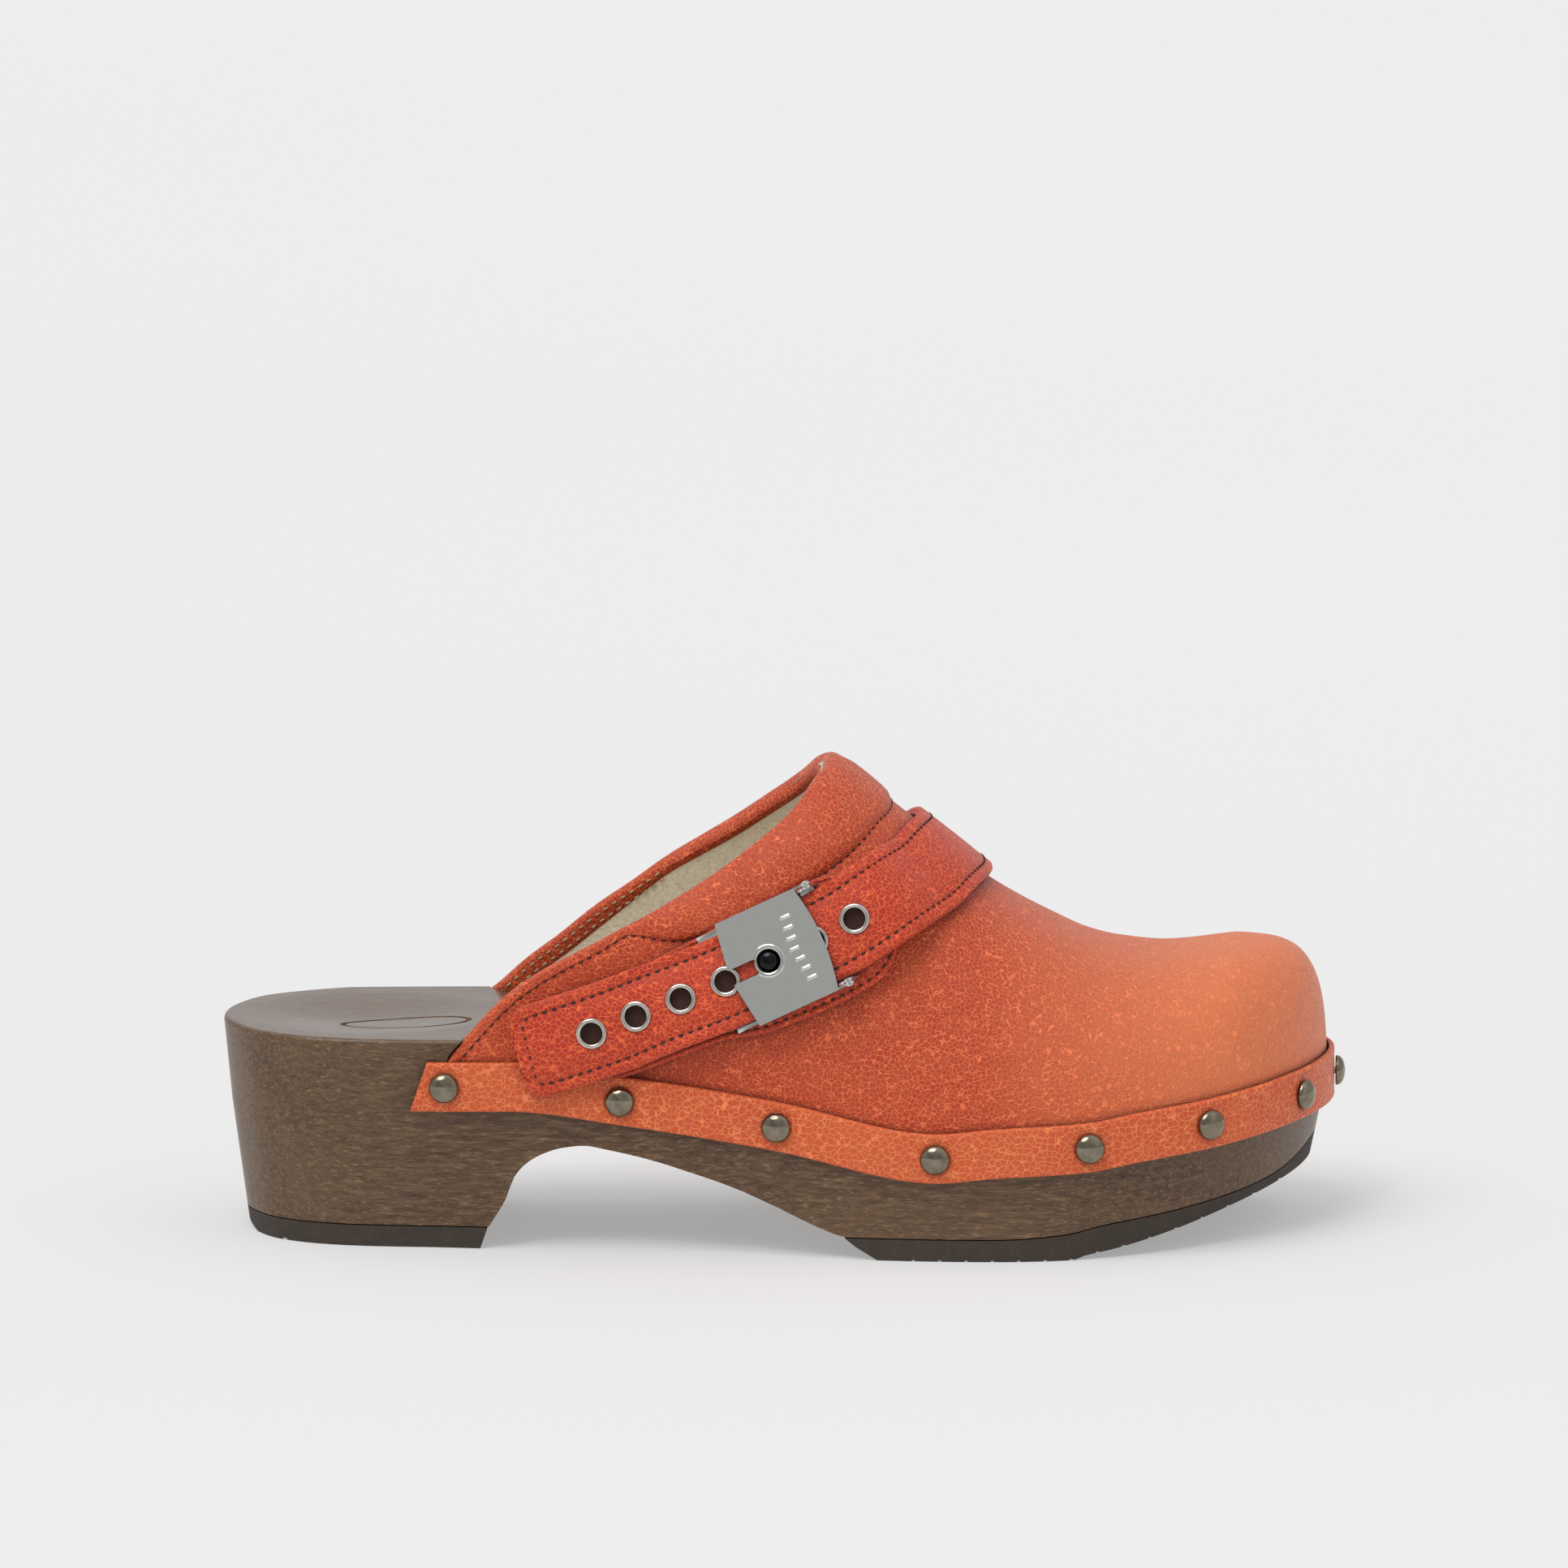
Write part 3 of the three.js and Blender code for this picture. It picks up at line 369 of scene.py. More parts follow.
def strap_frame(s):
    """Matrix on the strap's outer face: X along, Y out, Z across downwards; in metres."""
    lift = strap_lift(s) + STRAP_THICK
    point, along, _, across = centre_at(s)
    origin = seated(point, lift)
    u = unit(seated(point + along, lift) - origin)
    n = unit(np.cross(u, seated(point + across, lift) - origin))
    w = np.cross(n, u)
    made = np.eye(4)
    made[:3, 0], made[:3, 1], made[:3, 2] = u, n, -w
    made[:3, 3] = put(origin)[0]
    return Matrix(made.tolist())


# ---- Mesh making ----


def mesh_object(name, points, faces, in_frame=False):
    mesh = bpy.data.meshes.new(name)
    placed = points if in_frame else put(points)
    mesh.from_pydata([tuple(p) for p in placed], [], [tuple(f) for f in faces])
    mesh.validate()
    mesh.update()
    made = bpy.data.objects.new(name, mesh)
    bpy.context.scene.collection.objects.link(made)
    return made


def tidy_mesh(obj, sharp=35, merge=1e-6):
    """Merges doubled points, turns faces out, and shades smooth between sharp edges."""
    work = bmesh.new()
    work.from_mesh(obj.data)
    bmesh.ops.remove_doubles(work, verts=work.verts, dist=merge)
    bmesh.ops.dissolve_degenerate(work, edges=work.edges, dist=merge)
    bmesh.ops.recalc_face_normals(work, faces=work.faces)
    work.to_mesh(obj.data)
    work.free()
    obj.data.shade_smooth()
    obj.data.set_sharp_from_angle(angle=math.radians(sharp))
    return obj


def tube_faces(rings, size):
    """Faces between closed rings of points."""
    pairs = [(i * size + j, i * size + (j + 1) % size) for i in range(rings - 1) for j in range(size)]
    return [(a, b, b + size, a + size) for a, b in pairs]


def sheet_faces(rows, width, start=0):
    """Faces between open rows of points, which are numbered from start."""
    corners = [start + i * width + j for i in range(rows - 1) for j in range(width - 1)]
    return [(a, a + width, a + width + 1, a + 1) for a in corners]


def end_faces(rings, size):
    last = (rings - 1) * size
    return [tuple(range(size))[::-1], tuple(range(last, last + size))]


def through_rings(name, rings, sharp=35, capped=True, in_frame=False):
    """A tube of skin through closed rings of points, with its ends capped."""
    size = len(rings[0])
    points = np.concatenate([np.asarray(r, float) for r in rings])
    faces = tube_faces(len(rings), size)
    if capped:
        faces += end_faces(len(rings), size)
    return tidy_mesh(mesh_object(name, points, faces, in_frame), sharp)


def apply_modifiers(obj):
    """Bakes the object's modifiers into its mesh."""
    graph = bpy.context.evaluated_depsgraph_get()
    baked = bpy.data.meshes.new_from_object(obj.evaluated_get(graph))
    old = obj.data
    obj.modifiers.clear()
    obj.data = baked
    bpy.data.meshes.remove(old)
    return obj


def combine(obj, other, operation):
    """Joins or cuts a solid with another, which is used up."""
    cut = obj.modifiers.new("combine", "BOOLEAN")
    cut.operation = operation
    cut.solver = "EXACT"
    cut.object = other
    apply_modifiers(obj)
    bpy.data.objects.remove(other)
    return obj


def weighed(obj):
    """Shades broad flat faces flat where they meet small rounded ones."""
    obj.modifiers.new("weigh", "WEIGHTED_NORMAL").keep_sharp = True
    return apply_modifiers(obj)


def rounded(obj, width_mm, segments=2, angle=40):
    edge = obj.modifiers.new("round", "BEVEL")
    edge.width = width_mm * MM
    edge.segments = segments
    edge.limit_method = "ANGLE"
    edge.angle_limit = math.radians(angle)
    edge.harden_normals = False
    apply_modifiers(obj)
    return tidy_mesh(obj)


def joined(name, parts):
    """One mesh from a list of (points in metres, faces)."""
    points, faces, start = [], [], 0
    for some_points, some_faces in parts:
        points.extend(some_points)
        faces.extend(tuple(i + start for i in f) for f in some_faces)
        start += len(some_points)
    return mesh_object(name, points, faces, in_frame=True)


def turned_parts(profile, segments):
    """Points and faces of a profile of (radius, height) turned about the Y axis, in metres."""
    points = []
    for r, y in profile:
        for k in range(segments):
            turn = 2 * math.pi * k / segments
            points.append(Vector((r * MM * math.cos(turn), y * MM, r * MM * math.sin(turn))))
    return points, tube_faces(len(profile), segments)


def turned(name, profile, matrix, segments=40, sharp=35):
    points, faces = turned_parts(profile, segments)
    made = mesh_object(name, [matrix @ p for p in points], faces, in_frame=True)
    return tidy_mesh(made, sharp)


def drilled(obj, radius, low, high, matrix, segments):
    """Cuts a round hole along a matrix's Y axis."""
    bit = [(0.01, low), (radius, low), (radius, high), (0.01, high)]
    return combine(obj, turned("drill", bit, matrix, segments), "DIFFERENCE")


def slab(name, side, half_width=80):
    """A side view, (x, z), carried right across the shoe as a solid."""
    rings = [[(x, y, z) for x, z in side] for y in (-half_width, half_width)]
    return through_rings(name, rings)


def arc(radius, start, end, steps, centre=(0, 0)):
    angles = np.radians(np.linspace(start, end, steps))
    return [(centre[0] + radius * math.cos(a), centre[1] + radius * math.sin(a)) for a in angles]


# ---- Sole ----


def sole_inset(x, z):
    heel = max(0, 1 - z / HEEL_HEIGHT) * (1 - smoothstep(x, 45, 90))
    toe = max(0, 1 - (z - 8) / 30) ** 1.2 * smoothstep(x, 180, 245)
    return HEEL_TAPER * heel + TOE_TAPER * toe + SIDE_TAPER * max(0, 1 - z / 30)


def sole_blank(name, levels=()):
    """The sole's outline carried up, as a solid; levels are the top's (height, extra inset)."""
    rings = []
    low = [(z, 0) for z in (-1, 0, 4, 8, 12, 16, 20, 24, 30, 38, 44)]
    for z, extra in low + list(levels or [(HEEL_HEIGHT + 5, 0)]):
        inset = sole_inset(outline[:, 0], z) + extra
        moved = outline - outline_normals * inset[:, None]
        rings.append(np.column_stack([moved, np.full(len(moved), z)]))
    return through_rings(name, rings)


def fine(line, step=1.5):
    """A smooth line through (x, z) points, sampled closely."""
    height = curve_through(line)
    xs = np.arange(line[0][0], line[-1][0], step)
    return [(x, float(height(x))) for x in xs] + [line[-1]]


def grooves(first, pitch, count, height, reach, width, depth):
    """Bars across the shoe, out to a reach each side, for cutting tread grooves."""
    parts = []
    for i in range(count):
        x, z = first + i * pitch, float(height(first + i * pitch))
        ends = [[(x, y, z - 4), (x + width, y, z - 4), (x + width, y, z + depth), (x, y, z + depth)]
                for y in (-reach, reach)]
        points = put(np.concatenate(ends))
        faces = [(3, 2, 1, 0), (4, 5, 6, 7), (0, 1, 5, 4), (1, 2, 6, 5), (2, 3, 7, 6), (3, 0, 4, 7)]
        parts.append((points, faces))
    return tidy_mesh(joined("grooves", parts))


def dip(x, y, centre, radii, depth):
    away = math.hypot((x - centre) / radii[0], y / radii[1])
    return depth * (1 - float(smoothstep(away, 0, 1)))


def seat_height(x, y):
    """The footbed, with soft hollows for the heel and the ball of the foot."""
    low = dip(x, y, 34, (33, 29), 1.9) + dip(x, y, 186, (62, 38), 3)
    return float(footbed_height(x)) + 0.04 - low


def seat_block():
    """Everything above the footbed."""
    xs, ys = np.arange(-6, 268, 3), np.arange(-57, 58, 3)
    bottom = [(x, y, seat_height(x, y)) for x in xs for y in ys]
    top = [(x, y, 70) for x in xs for y in ys]
    n, m = len(xs), len(ys)
    faces = sheet_faces(n, m) + sheet_faces(n, m, n * m)
    edge = [i * m for i in range(n)] + [(n - 1) * m + j for j in range(1, m)]
    edge += [i * m + m - 1 for i in range(n - 2, -1, -1)] + [j for j in range(m - 2, 0, -1)]
    for a, b in zip(edge, edge[1:] + edge[:1]):
        faces.append((a, b, b + n * m, a + n * m))
    return tidy_mesh(mesh_object("seat_block", bottom + top, faces))


def oval_ring(centre, half_length, half_width, radius, steps=72):
    """A ring of round section along an oval, for cutting a groove."""
    rings = []
    for k in range(steps):
        a = 2 * math.pi * k / steps
        x, y = centre[0] + half_length * math.cos(a), centre[1] + half_width * math.sin(a)
        middle = np.array([x, y, seat_height(x, y)])
        out = unit(np.array([half_width * math.cos(a), half_length * math.sin(a), 0]))
        rings.append([
            middle + radius * (math.cos(b) * out + np.array([0, 0, math.sin(b)]))
            for b in np.linspace(0, 2 * math.pi, 8, endpoint=False)
        ])
    rings.append(rings[0])
    return through_rings("oval", rings, capped=False)


SEAT_RIM, WOOD_ROUND, TREAD_ROUND = 1.3, 0.8, 0.35
REBATE_REAR, REBATE_DEPTH = 51, 2.1


def rebate():
    """The step round the sole's side that the upper sits in, up to each side's topline."""
    low = [(x, float(rand_bottom(x))) for x in np.arange(REBATE_REAR, 264, 3)]
    outer_edge = [(x, float(topline_outer(x)) + 0.1) for x in np.arange(REBATE_REAR, 66, 1.5)]
    inner_edge = [(x, float(topline_inner(x)) + 0.3) for x in np.arange(REBATE_REAR - 1, 68, 1.5)]
    ring = slab("rebate", [*low, (264, 90), (66, 90), *outer_edge[::-1]])
    inner_cap = slab("inner_cap", [(48, 95), (48, 30), *inner_edge, (68, 95)][::-1])
    for vertex in inner_cap.data.vertices:
        vertex.co.y = max(vertex.co.y, 0)
    combine(ring, inner_cap, "DIFFERENCE")
    return combine(ring, inner_form(REBATE_DEPTH), "DIFFERENCE")


def wood_sole():
    rim = SEAT_RIM
    top = [(HEEL_HEIGHT - rim + rim * math.sin(a), rim - rim * math.cos(a))
           for a in np.radians(np.linspace(0, 90, 7))]
    side = [(-5, 5.3), *fine(ARCH_LINE, 1), *fine(TREAD_LINE, 2), (262, 25), (262, 60), (-5, 60)]
    sole = combine(sole_blank("wooden_sole", top), slab("side", side), "INTERSECT")
    sole = rounded(sole, WOOD_ROUND, segments=3, angle=50)
    combine(sole, seat_block(), "DIFFERENCE")
    combine(sole, rebate(), "DIFFERENCE")
    combine(sole, oval_ring((42.5, -7), 14.7, 7.8, 0.7), "DIFFERENCE")
    return weighed(tidy_mesh(sole))


def heel_lift():
    side = [(8, 0), (59.9, 0), (61.6, LIFT_TOP), (-5, LIFT_TOP), (-5, 2.6), (5.4, 2.2)]
    lift = combine(sole_blank("heel_tread"), slab("side", side), "INTERSECT")
    cuts = grooves(first=14, pitch=7, count=6, height=lambda x: 0, reach=20, width=0.9, depth=0.45)
    combine(lift, cuts, "DIFFERENCE")
    return weighed(rounded(lift, TREAD_ROUND))


def outsole():
    top = [(x, z - 0.3) for x, z in fine(TREAD_LINE, 2)][::-1]
    side = [*fine(GROUND_LINE, 2), (262, 16), (262, 24), *top, (147, 3)]
    tread = combine(sole_blank("forefoot_tread"), slab("side", side), "INTERSECT")
    ground = curve_through(GROUND_LINE)
    cuts = grooves(first=160, pitch=6.1, count=15, height=ground, reach=60, width=0.7, depth=0.3)
    combine(tread, cuts, "DIFFERENCE")
    return weighed(rounded(tread, TREAD_ROUND))


# ---- Upper ----


def wall_rows(depth, bottom, drop, stations=1.6, toe_rays=84, steps=56, rear=51.4):
    """Rows of points up the wall, from the outer side round the toe to the inner side.

    depth is inside the outer face, bottom gives each row's lowest height, and drop is how far
    each row stays below the topline.
    """
    rows = []

    def row(base, top_xy, power, top_height, limit):
        foot = float(rand_bottom(base[0]))
        out = np.array(base) - top_xy
        deep = depth(base[0])
        reach = np.linalg.norm(out) - deep - UPPER_INSET
        out = unit(out)
        rise = top_height - deep - foot
        low = max(0.0, bottom(base[0]) - foot) / rise
        high = min(1.0, max(low + 0.01, (limit - foot) / rise))
        start, end = (math.asin(min(1, share) ** (power / 2)) for share in (low, high))
        made = []
        for angle in np.linspace(start, end, steps + 1):
            share = max(0.0, math.cos(angle)) ** (2 / power)
            made.append([*(top_xy + out * reach * share), foot + rise * math.sin(angle) ** (2 / power)])
        return made

    def side_row(x, side):
        top_xy = np.array([x, ridge_side(x)])
        line = topline_outer if side < 0 else topline_inner
        below = drop * (1 + 0.7 * float(smoothstep(x, 125, PEAK_X)))
        limit = 1e3 if x >= PEAK_X + drop else float(line(x)) - below
        return row((x, side_point(x, side)[0]), top_xy, float(squareness(x)), float(ridge_height(x)), limit)

    def has_room(x, line):
        return x > PEAK_X or float(line(x)) - drop > bottom(x) + 0.5

    xs = np.linspace(rear, POLE[0], int((POLE[0] - rear) / stations))
    rows.extend(side_row(x, -1) for x in xs if has_room(x, topline_outer))
    for angle in np.linspace(-math.pi / 2, math.pi / 2, toe_rays + 2)[1:-1]:
        side = float(squareness(POLE[0]))
        power = side + (TOE_SQUARENESS - side) * math.cos(angle) ** 2
        rows.append(row(ray_point(angle)[0], POLE, power, float(ridge_height(POLE[0])), 1e3))
    rows.extend(side_row(x, 1) for x in xs[::-1] if has_room(x, topline_inner))
    return rows


def leather_sheet(name, rows, thick_mm):
    """Rows of points as a sheet with thickness, grown inwards."""
    made = mesh_object(name, np.concatenate(rows), sheet_faces(len(rows), len(rows[0])))
    tidy_mesh(made, sharp=60, merge=2e-5)
    skin = made.modifiers.new("skin", "SOLIDIFY")
    skin.thickness = thick_mm * MM
    skin.offset = -1
    return tidy_mesh(apply_modifiers(made), sharp=60)


def inner_form(depth):
    """The closed form inside the upper, for cutting the sole's rebate."""
    rows = wall_rows(lambda x: depth, lambda x: -1e3, -1e3, stations=4, toe_rays=30, steps=24, rear=45)
    width = len(rows[0]) + 1
    grounded = [[[row[0][0], row[0][1], -5.0], *row] for row in rows]
    faces = sheet_faces(len(rows), width)
    last = (len(rows) - 1) * width
    faces.append(tuple(i * width for i in range(len(rows))))
    faces.append(tuple(range(width - 1, -1, -1)) + tuple(last + j for j in range(width - 1)))
    return tidy_mesh(mesh_object("inner_form", np.concatenate(grounded), faces), merge=1e-5)


VAMP_THICK, VAMP_DROP = 1.7, 1.3
LINING_THICK, LINING_DROP, LINING_REAR = 0.7, 3.4, 59


def vamp():
    rows = wall_rows(lambda x: 0.0, lambda x: rand_bottom(x) + 0.8, VAMP_DROP)
    return leather_sheet("vamp_leather", rows, VAMP_THICK)


def lining_depth(x):
    return 1.9 + 1.3 * float(smoothstep(x, 92, 118))


def lining():
    def bottom(x):
        return float(footbed_height(x)) + 0.2

    rows = wall_rows(lining_depth, bottom, LINING_DROP, steps=40, rear=LINING_REAR)
    return leather_sheet("suede_lining", rows, LINING_THICK)


def topline_path(count=260):
    """Points of the foot opening's edge, from the outer side over the peak to the inner side."""
    xs = np.concatenate([np.linspace(51.6, 130, 80), np.linspace(130.5, PEAK_X - 0.6, 40)])
    outer = [face_at_height(x, float(topline_outer(x)), -1) for x in xs]
    inner = [face_at_height(x, float(topline_inner(x)), 1) for x in xs[::-1]]
    line = np.array([*outer, face_point(PEAK_X, math.pi / 2), *inner])
    for _ in range(6):
        line[1:-1] = (line[:-2] + 2 * line[1:-1] + line[2:]) / 4
    return resampled(line, count)


collar_width = curve_through([
    (51, 2.6), (86, 2.6), (92.5, 2.2), (96, 4.4), (99.2, 7.4), (102.8, 9.8), (108, 12), (116, 14),
    (125, 15.4), (133, 16.4), (141, 16.8),
])


def topline_frames(count=260):
    """Each edge point with its along, out and down directions."""
    line = topline_path(count)
    made = []
    for i, point in enumerate(line):
        along = unit(line[min(i + 1, count - 1)] - line[max(i - 1, 0)])
        out = face_normal(point[0], angle_of(point))
        made.append((point, along, out, unit(np.cross(along, out))))
    return made


def collar_point(place, down, depth):
    """A point a distance down the face from the foot opening's edge, and a depth inside it."""
    point, _, _, below = place
    return on_face(point + below * down, -depth)


def collar_section(x):
    """The padded band's closed outline at x, as (distance down from the edge, depth) pairs."""
    width = float(collar_width(x))
    padded = float(smoothstep(width, 3, 12))
    puff = 0.2 + 1.5 * padded
    inner = lining_depth(x) + 1.1
    fold = 4.6 - 1.4 * float(smoothstep(x, 84, 102))
    roll = 1.1 + 0.7 * padded
    outer = -0.12 - 0.62 * puff
    middle, half = (outer + inner) / 2, (inner - outer) / 2
    face = [(width + 0.25, 1.0), (width + 0.1, 0.25), (width - 0.25, -0.05 - 0.12 * puff)]
    face += [(width * t, -0.12 - puff * (4 * t * (1 - t)) ** 0.45) for t in (0.9, 0.8, 0.65, 0.5, 0.35)]
    edge = [(roll * (1 - math.cos(a)), middle - half * math.sin(a))
            for a in np.radians([90, 65, 40, 15, -10, -35, -60, -90])]
    inside = [(fold * 0.5, inner), (fold - 0.5, inner), (fold, inner - 0.35), (fold, 1.4), (fold * 0.5, 1.2)]
    return face + edge + inside


def collar():
    rings = []
    for place in topline_frames():
        rings.append([collar_point(place, down, depth) for down, depth in collar_section(place[0][0])])
    return through_rings("padded_collar", rings, sharp=50)


# ---- Rand and nails ----


def rand_stations():
    """Outline points and normals from the rand's rear end on the outer side to the inner side's."""
    outer = [i for i in OUTER_SIDE if outline[i, 0] > RAND_BOTTOM_REAR + 2]
    inner = [i for i in INNER_SIDE[::-1] if outline[i, 0] > RAND_BOTTOM_REAR + 2]
    return [(outline[i], outline_normals[i]) for i in outer + inner[1:]]


def nail_places():
    places = []
    for side, xs in ((-1, OUTER_NAILS), (1, INNER_NAILS)):
        for x in xs:
            y, normal = side_point(x, side)
            places.append((np.array([x, y, nail_height(x)]), np.array([*normal, 0.0])))
    point, normal = ray_point(math.radians(TOE_NAIL_ANGLE))
    toe = (np.array([*point, nail_height(point[0])]), np.array([*normal, 0.0]))
    return places[: len(OUTER_NAILS)] + [toe] + places[len(OUTER_NAILS):]


def rand():
    half, thick, soft = RAND_HEIGHT / 2, RAND_OUTER - RAND_INNER, 0.7
    corner = arc(soft, 90, 0, 5)
    upper_edge = [(half - soft + y, thick - soft + x) for x, y in corner]
    lower_edge = [(-h, o) for h, o in upper_edge[::-1]]
    face = [(h, thick + 0.12 * math.cos(h * 0.5)) for h in np.linspace(half - soft, soft - half, 9)[1:-1]]
    section = [(half, 0)] + upper_edge + face + lower_edge + [(-half, 0)]
    nails = nail_places()
    rings = []
    for point, normal in rand_stations():
        x = point[0]
        ring = []
        for h, o in section:
            rear = 1 - smoothstep(x, 44, 66)
            slant = (RAND_TOP_REAR - RAND_BOTTOM_REAR) * (h / RAND_HEIGHT + 0.5) * rear
            shifted = x + slant - 2 * rear
            y, out = side_point(shifted, np.sign(point[1])) if x < 90 else (point[1], normal)
            place = np.array([shifted, y, nail_height(shifted) + h])
            pull = sum(math.exp(-((np.linalg.norm(place - nail) / 5.2) ** 2)) for nail, _ in nails)
            offset = RAND_INNER + o * (1 - 0.16 * min(1, pull))
            ring.append(place + np.array([*out, 0]) * offset)
        rings.append(ring)
    return through_rings("rand_strip", rings, sharp=50)


def nail(name, place):
    point, normal = place
    edge = arc(0.35, -90, 0, 4, (NAIL_RADIUS - 0.35, 0.35))
    dome = [(NAIL_RADIUS * math.cos(a), 0.35 + (NAIL_DOME - 0.35) * math.sin(a))
            for a in np.radians(np.linspace(8, 90, 12))]
    profile = [(0.01, -6), (0.8, -5.6), (0.8, 0), *edge, *dome[:-1], (0.01, NAIL_DOME)]
    turn = Vector((0, 1, 0)).rotation_difference(Vector(normal)).to_matrix().to_4x4()
    seat = point + normal * (RAND_OUTER + 0.15)
    return turned(name, profile, Matrix.Translation(Vector(put(seat)[0])) @ turn, 36, 50)


# ---- Strap, tab and eyelets ----


def eyelet_places():
    return [(i + 1 - EYELET_ON_PEG) * EYELET_PITCH for i in range(EYELET_COUNT)]


def band(name, stations, low, high, lift, thick, section, sharp=40):
    """A band of leather along the strap's centre line.

    section lists (share of the width from 0 to 1, fixed distance from that place, height share).
    """
    rings = []
    for s in stations:
        a, b = low(s), high(s)
        squeeze = min(1, (b - a) / 6)
        ring = []
        for share, fixed, height in section:
            w = a + (b - a) * share + fixed * squeeze
            ring.append(strap_point(s, w, lift(s) + height * thick))
        rings.append(ring)
    return through_rings(name, rings, sharp)


def band_section(groove, depth):
    """A band's cut: soft edges, two glued layers, and a pressed line along each stitch row."""
    right = [(1, -0.5, 0), (1, -0.1, 0.12), (1, 0, 0.4), (1, -0.13, 0.48), (1, 0, 0.56), (1, -0.1, 0.86),
             (1, -0.45, 0.98)]
    top = [(1, -groove + 0.45, 1.0), (1, -groove, 1 - depth), (1, -groove - 0.45, 1.0),
           (0.62, 0, 1.03), (0.5, 0, 1.035), (0.38, 0, 1.03)]
    mirrored = [(1 - share, -fixed, height) for share, fixed, height in (right + top[:3])[::-1]]
    return right + top + mirrored + [(0.3, 0, 0), (0.7, 0, 0)]


STITCH_INSET = 2.9


def strap():
    rounded_end = [STRAP_REAR + d for d in (0, 0.15, 0.5, 1, 1.8, 2.8, 3.9)]
    stations = rounded_end + list(np.arange(STRAP_REAR + STRAP_CORNER, STRAP_FRONT - 1, 1.5))
    stations = [s for s in stations if s < strap_end()]
    made = band(
        "instep_strap", stations, lambda s: -strap_half(s), strap_half, strap_lift, STRAP_THICK,
        band_section(STITCH_INSET, 0.1),
    )
    for s in eyelet_places():
        drilled(made, EYELET_DRILL, -5, 3, strap_frame(s), 28)
    return tidy_mesh(made, 40)


def strap_end():
    """How far along the strap's fixed end runs, to just above the rand on the inner side."""
    s = STRAP_FRONT
    while strap_point(s, 0, 0)[2] < rand_top(strap_point(s, 0, 0)[0]) - 1.5:
        s -= 0.5
    return s


TAB_ROUND = 11
tab_low = curve_through([(-40, -12.4), (-18, -12), (-6, -14.6), (8, -15), (18, -15)])
tab_high = curve_through([(-30, 10.8), (-18, 12.2), (-6, 13.2), (8, 13.6), (14, 13.6)])


def tab_edges():
    def loss(s):
        return corner_loss(TAB_END - s, TAB_ROUND)

    return lambda s: float(tab_low(s)) + loss(s), lambda s: float(tab_high(s)) - loss(s)


def buckle_tab():
    low, high = tab_edges()
    stations = list(np.arange(TAB_REAR + 6, TAB_END - TAB_ROUND - 1, 1.5))
    stations += list(TAB_END - TAB_ROUND * np.cos(np.radians(np.linspace(0, 86, 14))))
    section = band_section(1.4, 0.12)
    return band("buckle_tab_leather", stations, low, high, lambda s: TAB_LIFT, TAB_THICK, section)


def eyelet(name, s):
    hole, rim = EYELET_HOLE, EYELET_RIM
    bead = [((hole + rim) / 2 + (rim - hole) / 2 * math.cos(a), 0.12 + 0.62 * math.sin(a))
            for a in np.radians(np.linspace(-10, 190, 12))]
    profile = [(hole + 0.25, -2.8), (hole + 0.3, -0.1), *bead, (hole, -2.8), (hole + 0.25, -2.8)]
    return turned(name, profile, strap_frame(s), 40, 60)


def eyelet_shade(name, s):
    """A dark disc down in an eyelet's hole: painted shade for the shadow at the hole's bottom."""
    return turned(name, [(0.01, -1.5), (2.75, -1.5), (2.75, -1.3), (0.01, -1.3)], strap_frame(s), 28, 50)


# ---- Stitches ----


def stitches(name, places, length=1.3, thick=0.27):
    """Small thread loops, each given as (point, along, out) in shoe millimetres."""
    parts = []
    around, rounds = 6, (-1, -0.75, -0.3, 0.3, 0.75, 1)
    faces = tube_faces(len(rounds), around) + end_faces(len(rounds), around)
    for point, along, out in places:
        side = np.cross(out, along)
        points = []
        for t in rounds:
            swell = math.sqrt(max(0.06, 1 - t ** 4))
            middle = point + along * (t * length / 2) + out * (0.1 - 0.28 * t * t)
            for k in range(around):
                turn = 2 * math.pi * k / around
                points.append(middle + thick * swell * (math.cos(turn) * side + math.sin(turn) * out))
        parts.append((put(points), faces))
    return tidy_mesh(joined(name, parts), sharp=60)


def spaced(line, pitch):
    """Evenly pitched places on a line of points, each with its direction."""
    along = lengths_along(line)
    count = max(2, int(along[-1] / pitch))
    points = resampled(line, count)
    return [(points[i], unit(points[min(i + 1, count - 1)] - points[max(i - 1, 0)])) for i in range(count)]


STITCH_PITCH = 2.3


def sewn(name, line, outward, **sizes):
    """A row of stitches along a line of points; outward gives the way out at a point."""
    places = [(point, along, outward(point)) for point, along in spaced(np.array(line), STITCH_PITCH)]
    return stitches(name, places, **sizes)


def off_strap(point):
    return unit(seated(point, 1) - seated(point, 0))


def off_face(point):
    return face_normal(point[0], angle_of(point))


def strap_stitches():
    ss = np.arange(STRAP_REAR + STITCH_INSET, strap_end() - 1, 1.0)
    inner = STRAP_HALF - STITCH_INSET

    def rows(s, w):
        return strap_point(s, w, strap_lift(s) + STRAP_THICK - 0.1)

    turn = [(STRAP_REAR + STITCH_INSET + 2.6 * (1 - math.sin(a)), inner - 2.6 * (1 - math.cos(a)))
            for a in np.radians(np.linspace(0, 90, 6))]
    upper = [rows(s, inner) for s in ss[ss > turn[0][0]][::-1]]
    corner = [rows(s, w) for s, w in turn]
    across = [rows(STRAP_REAR + STITCH_INSET, w) for w in np.linspace(inner - 3, 3 - inner, 12)]
    corner_low = [rows(s, -w) for s, w in turn[::-1]]
    lower = [rows(s, -inner) for s in ss[ss > turn[0][0]]]
    return sewn("strap_stitches", upper + corner + across + corner_low + lower, off_strap)


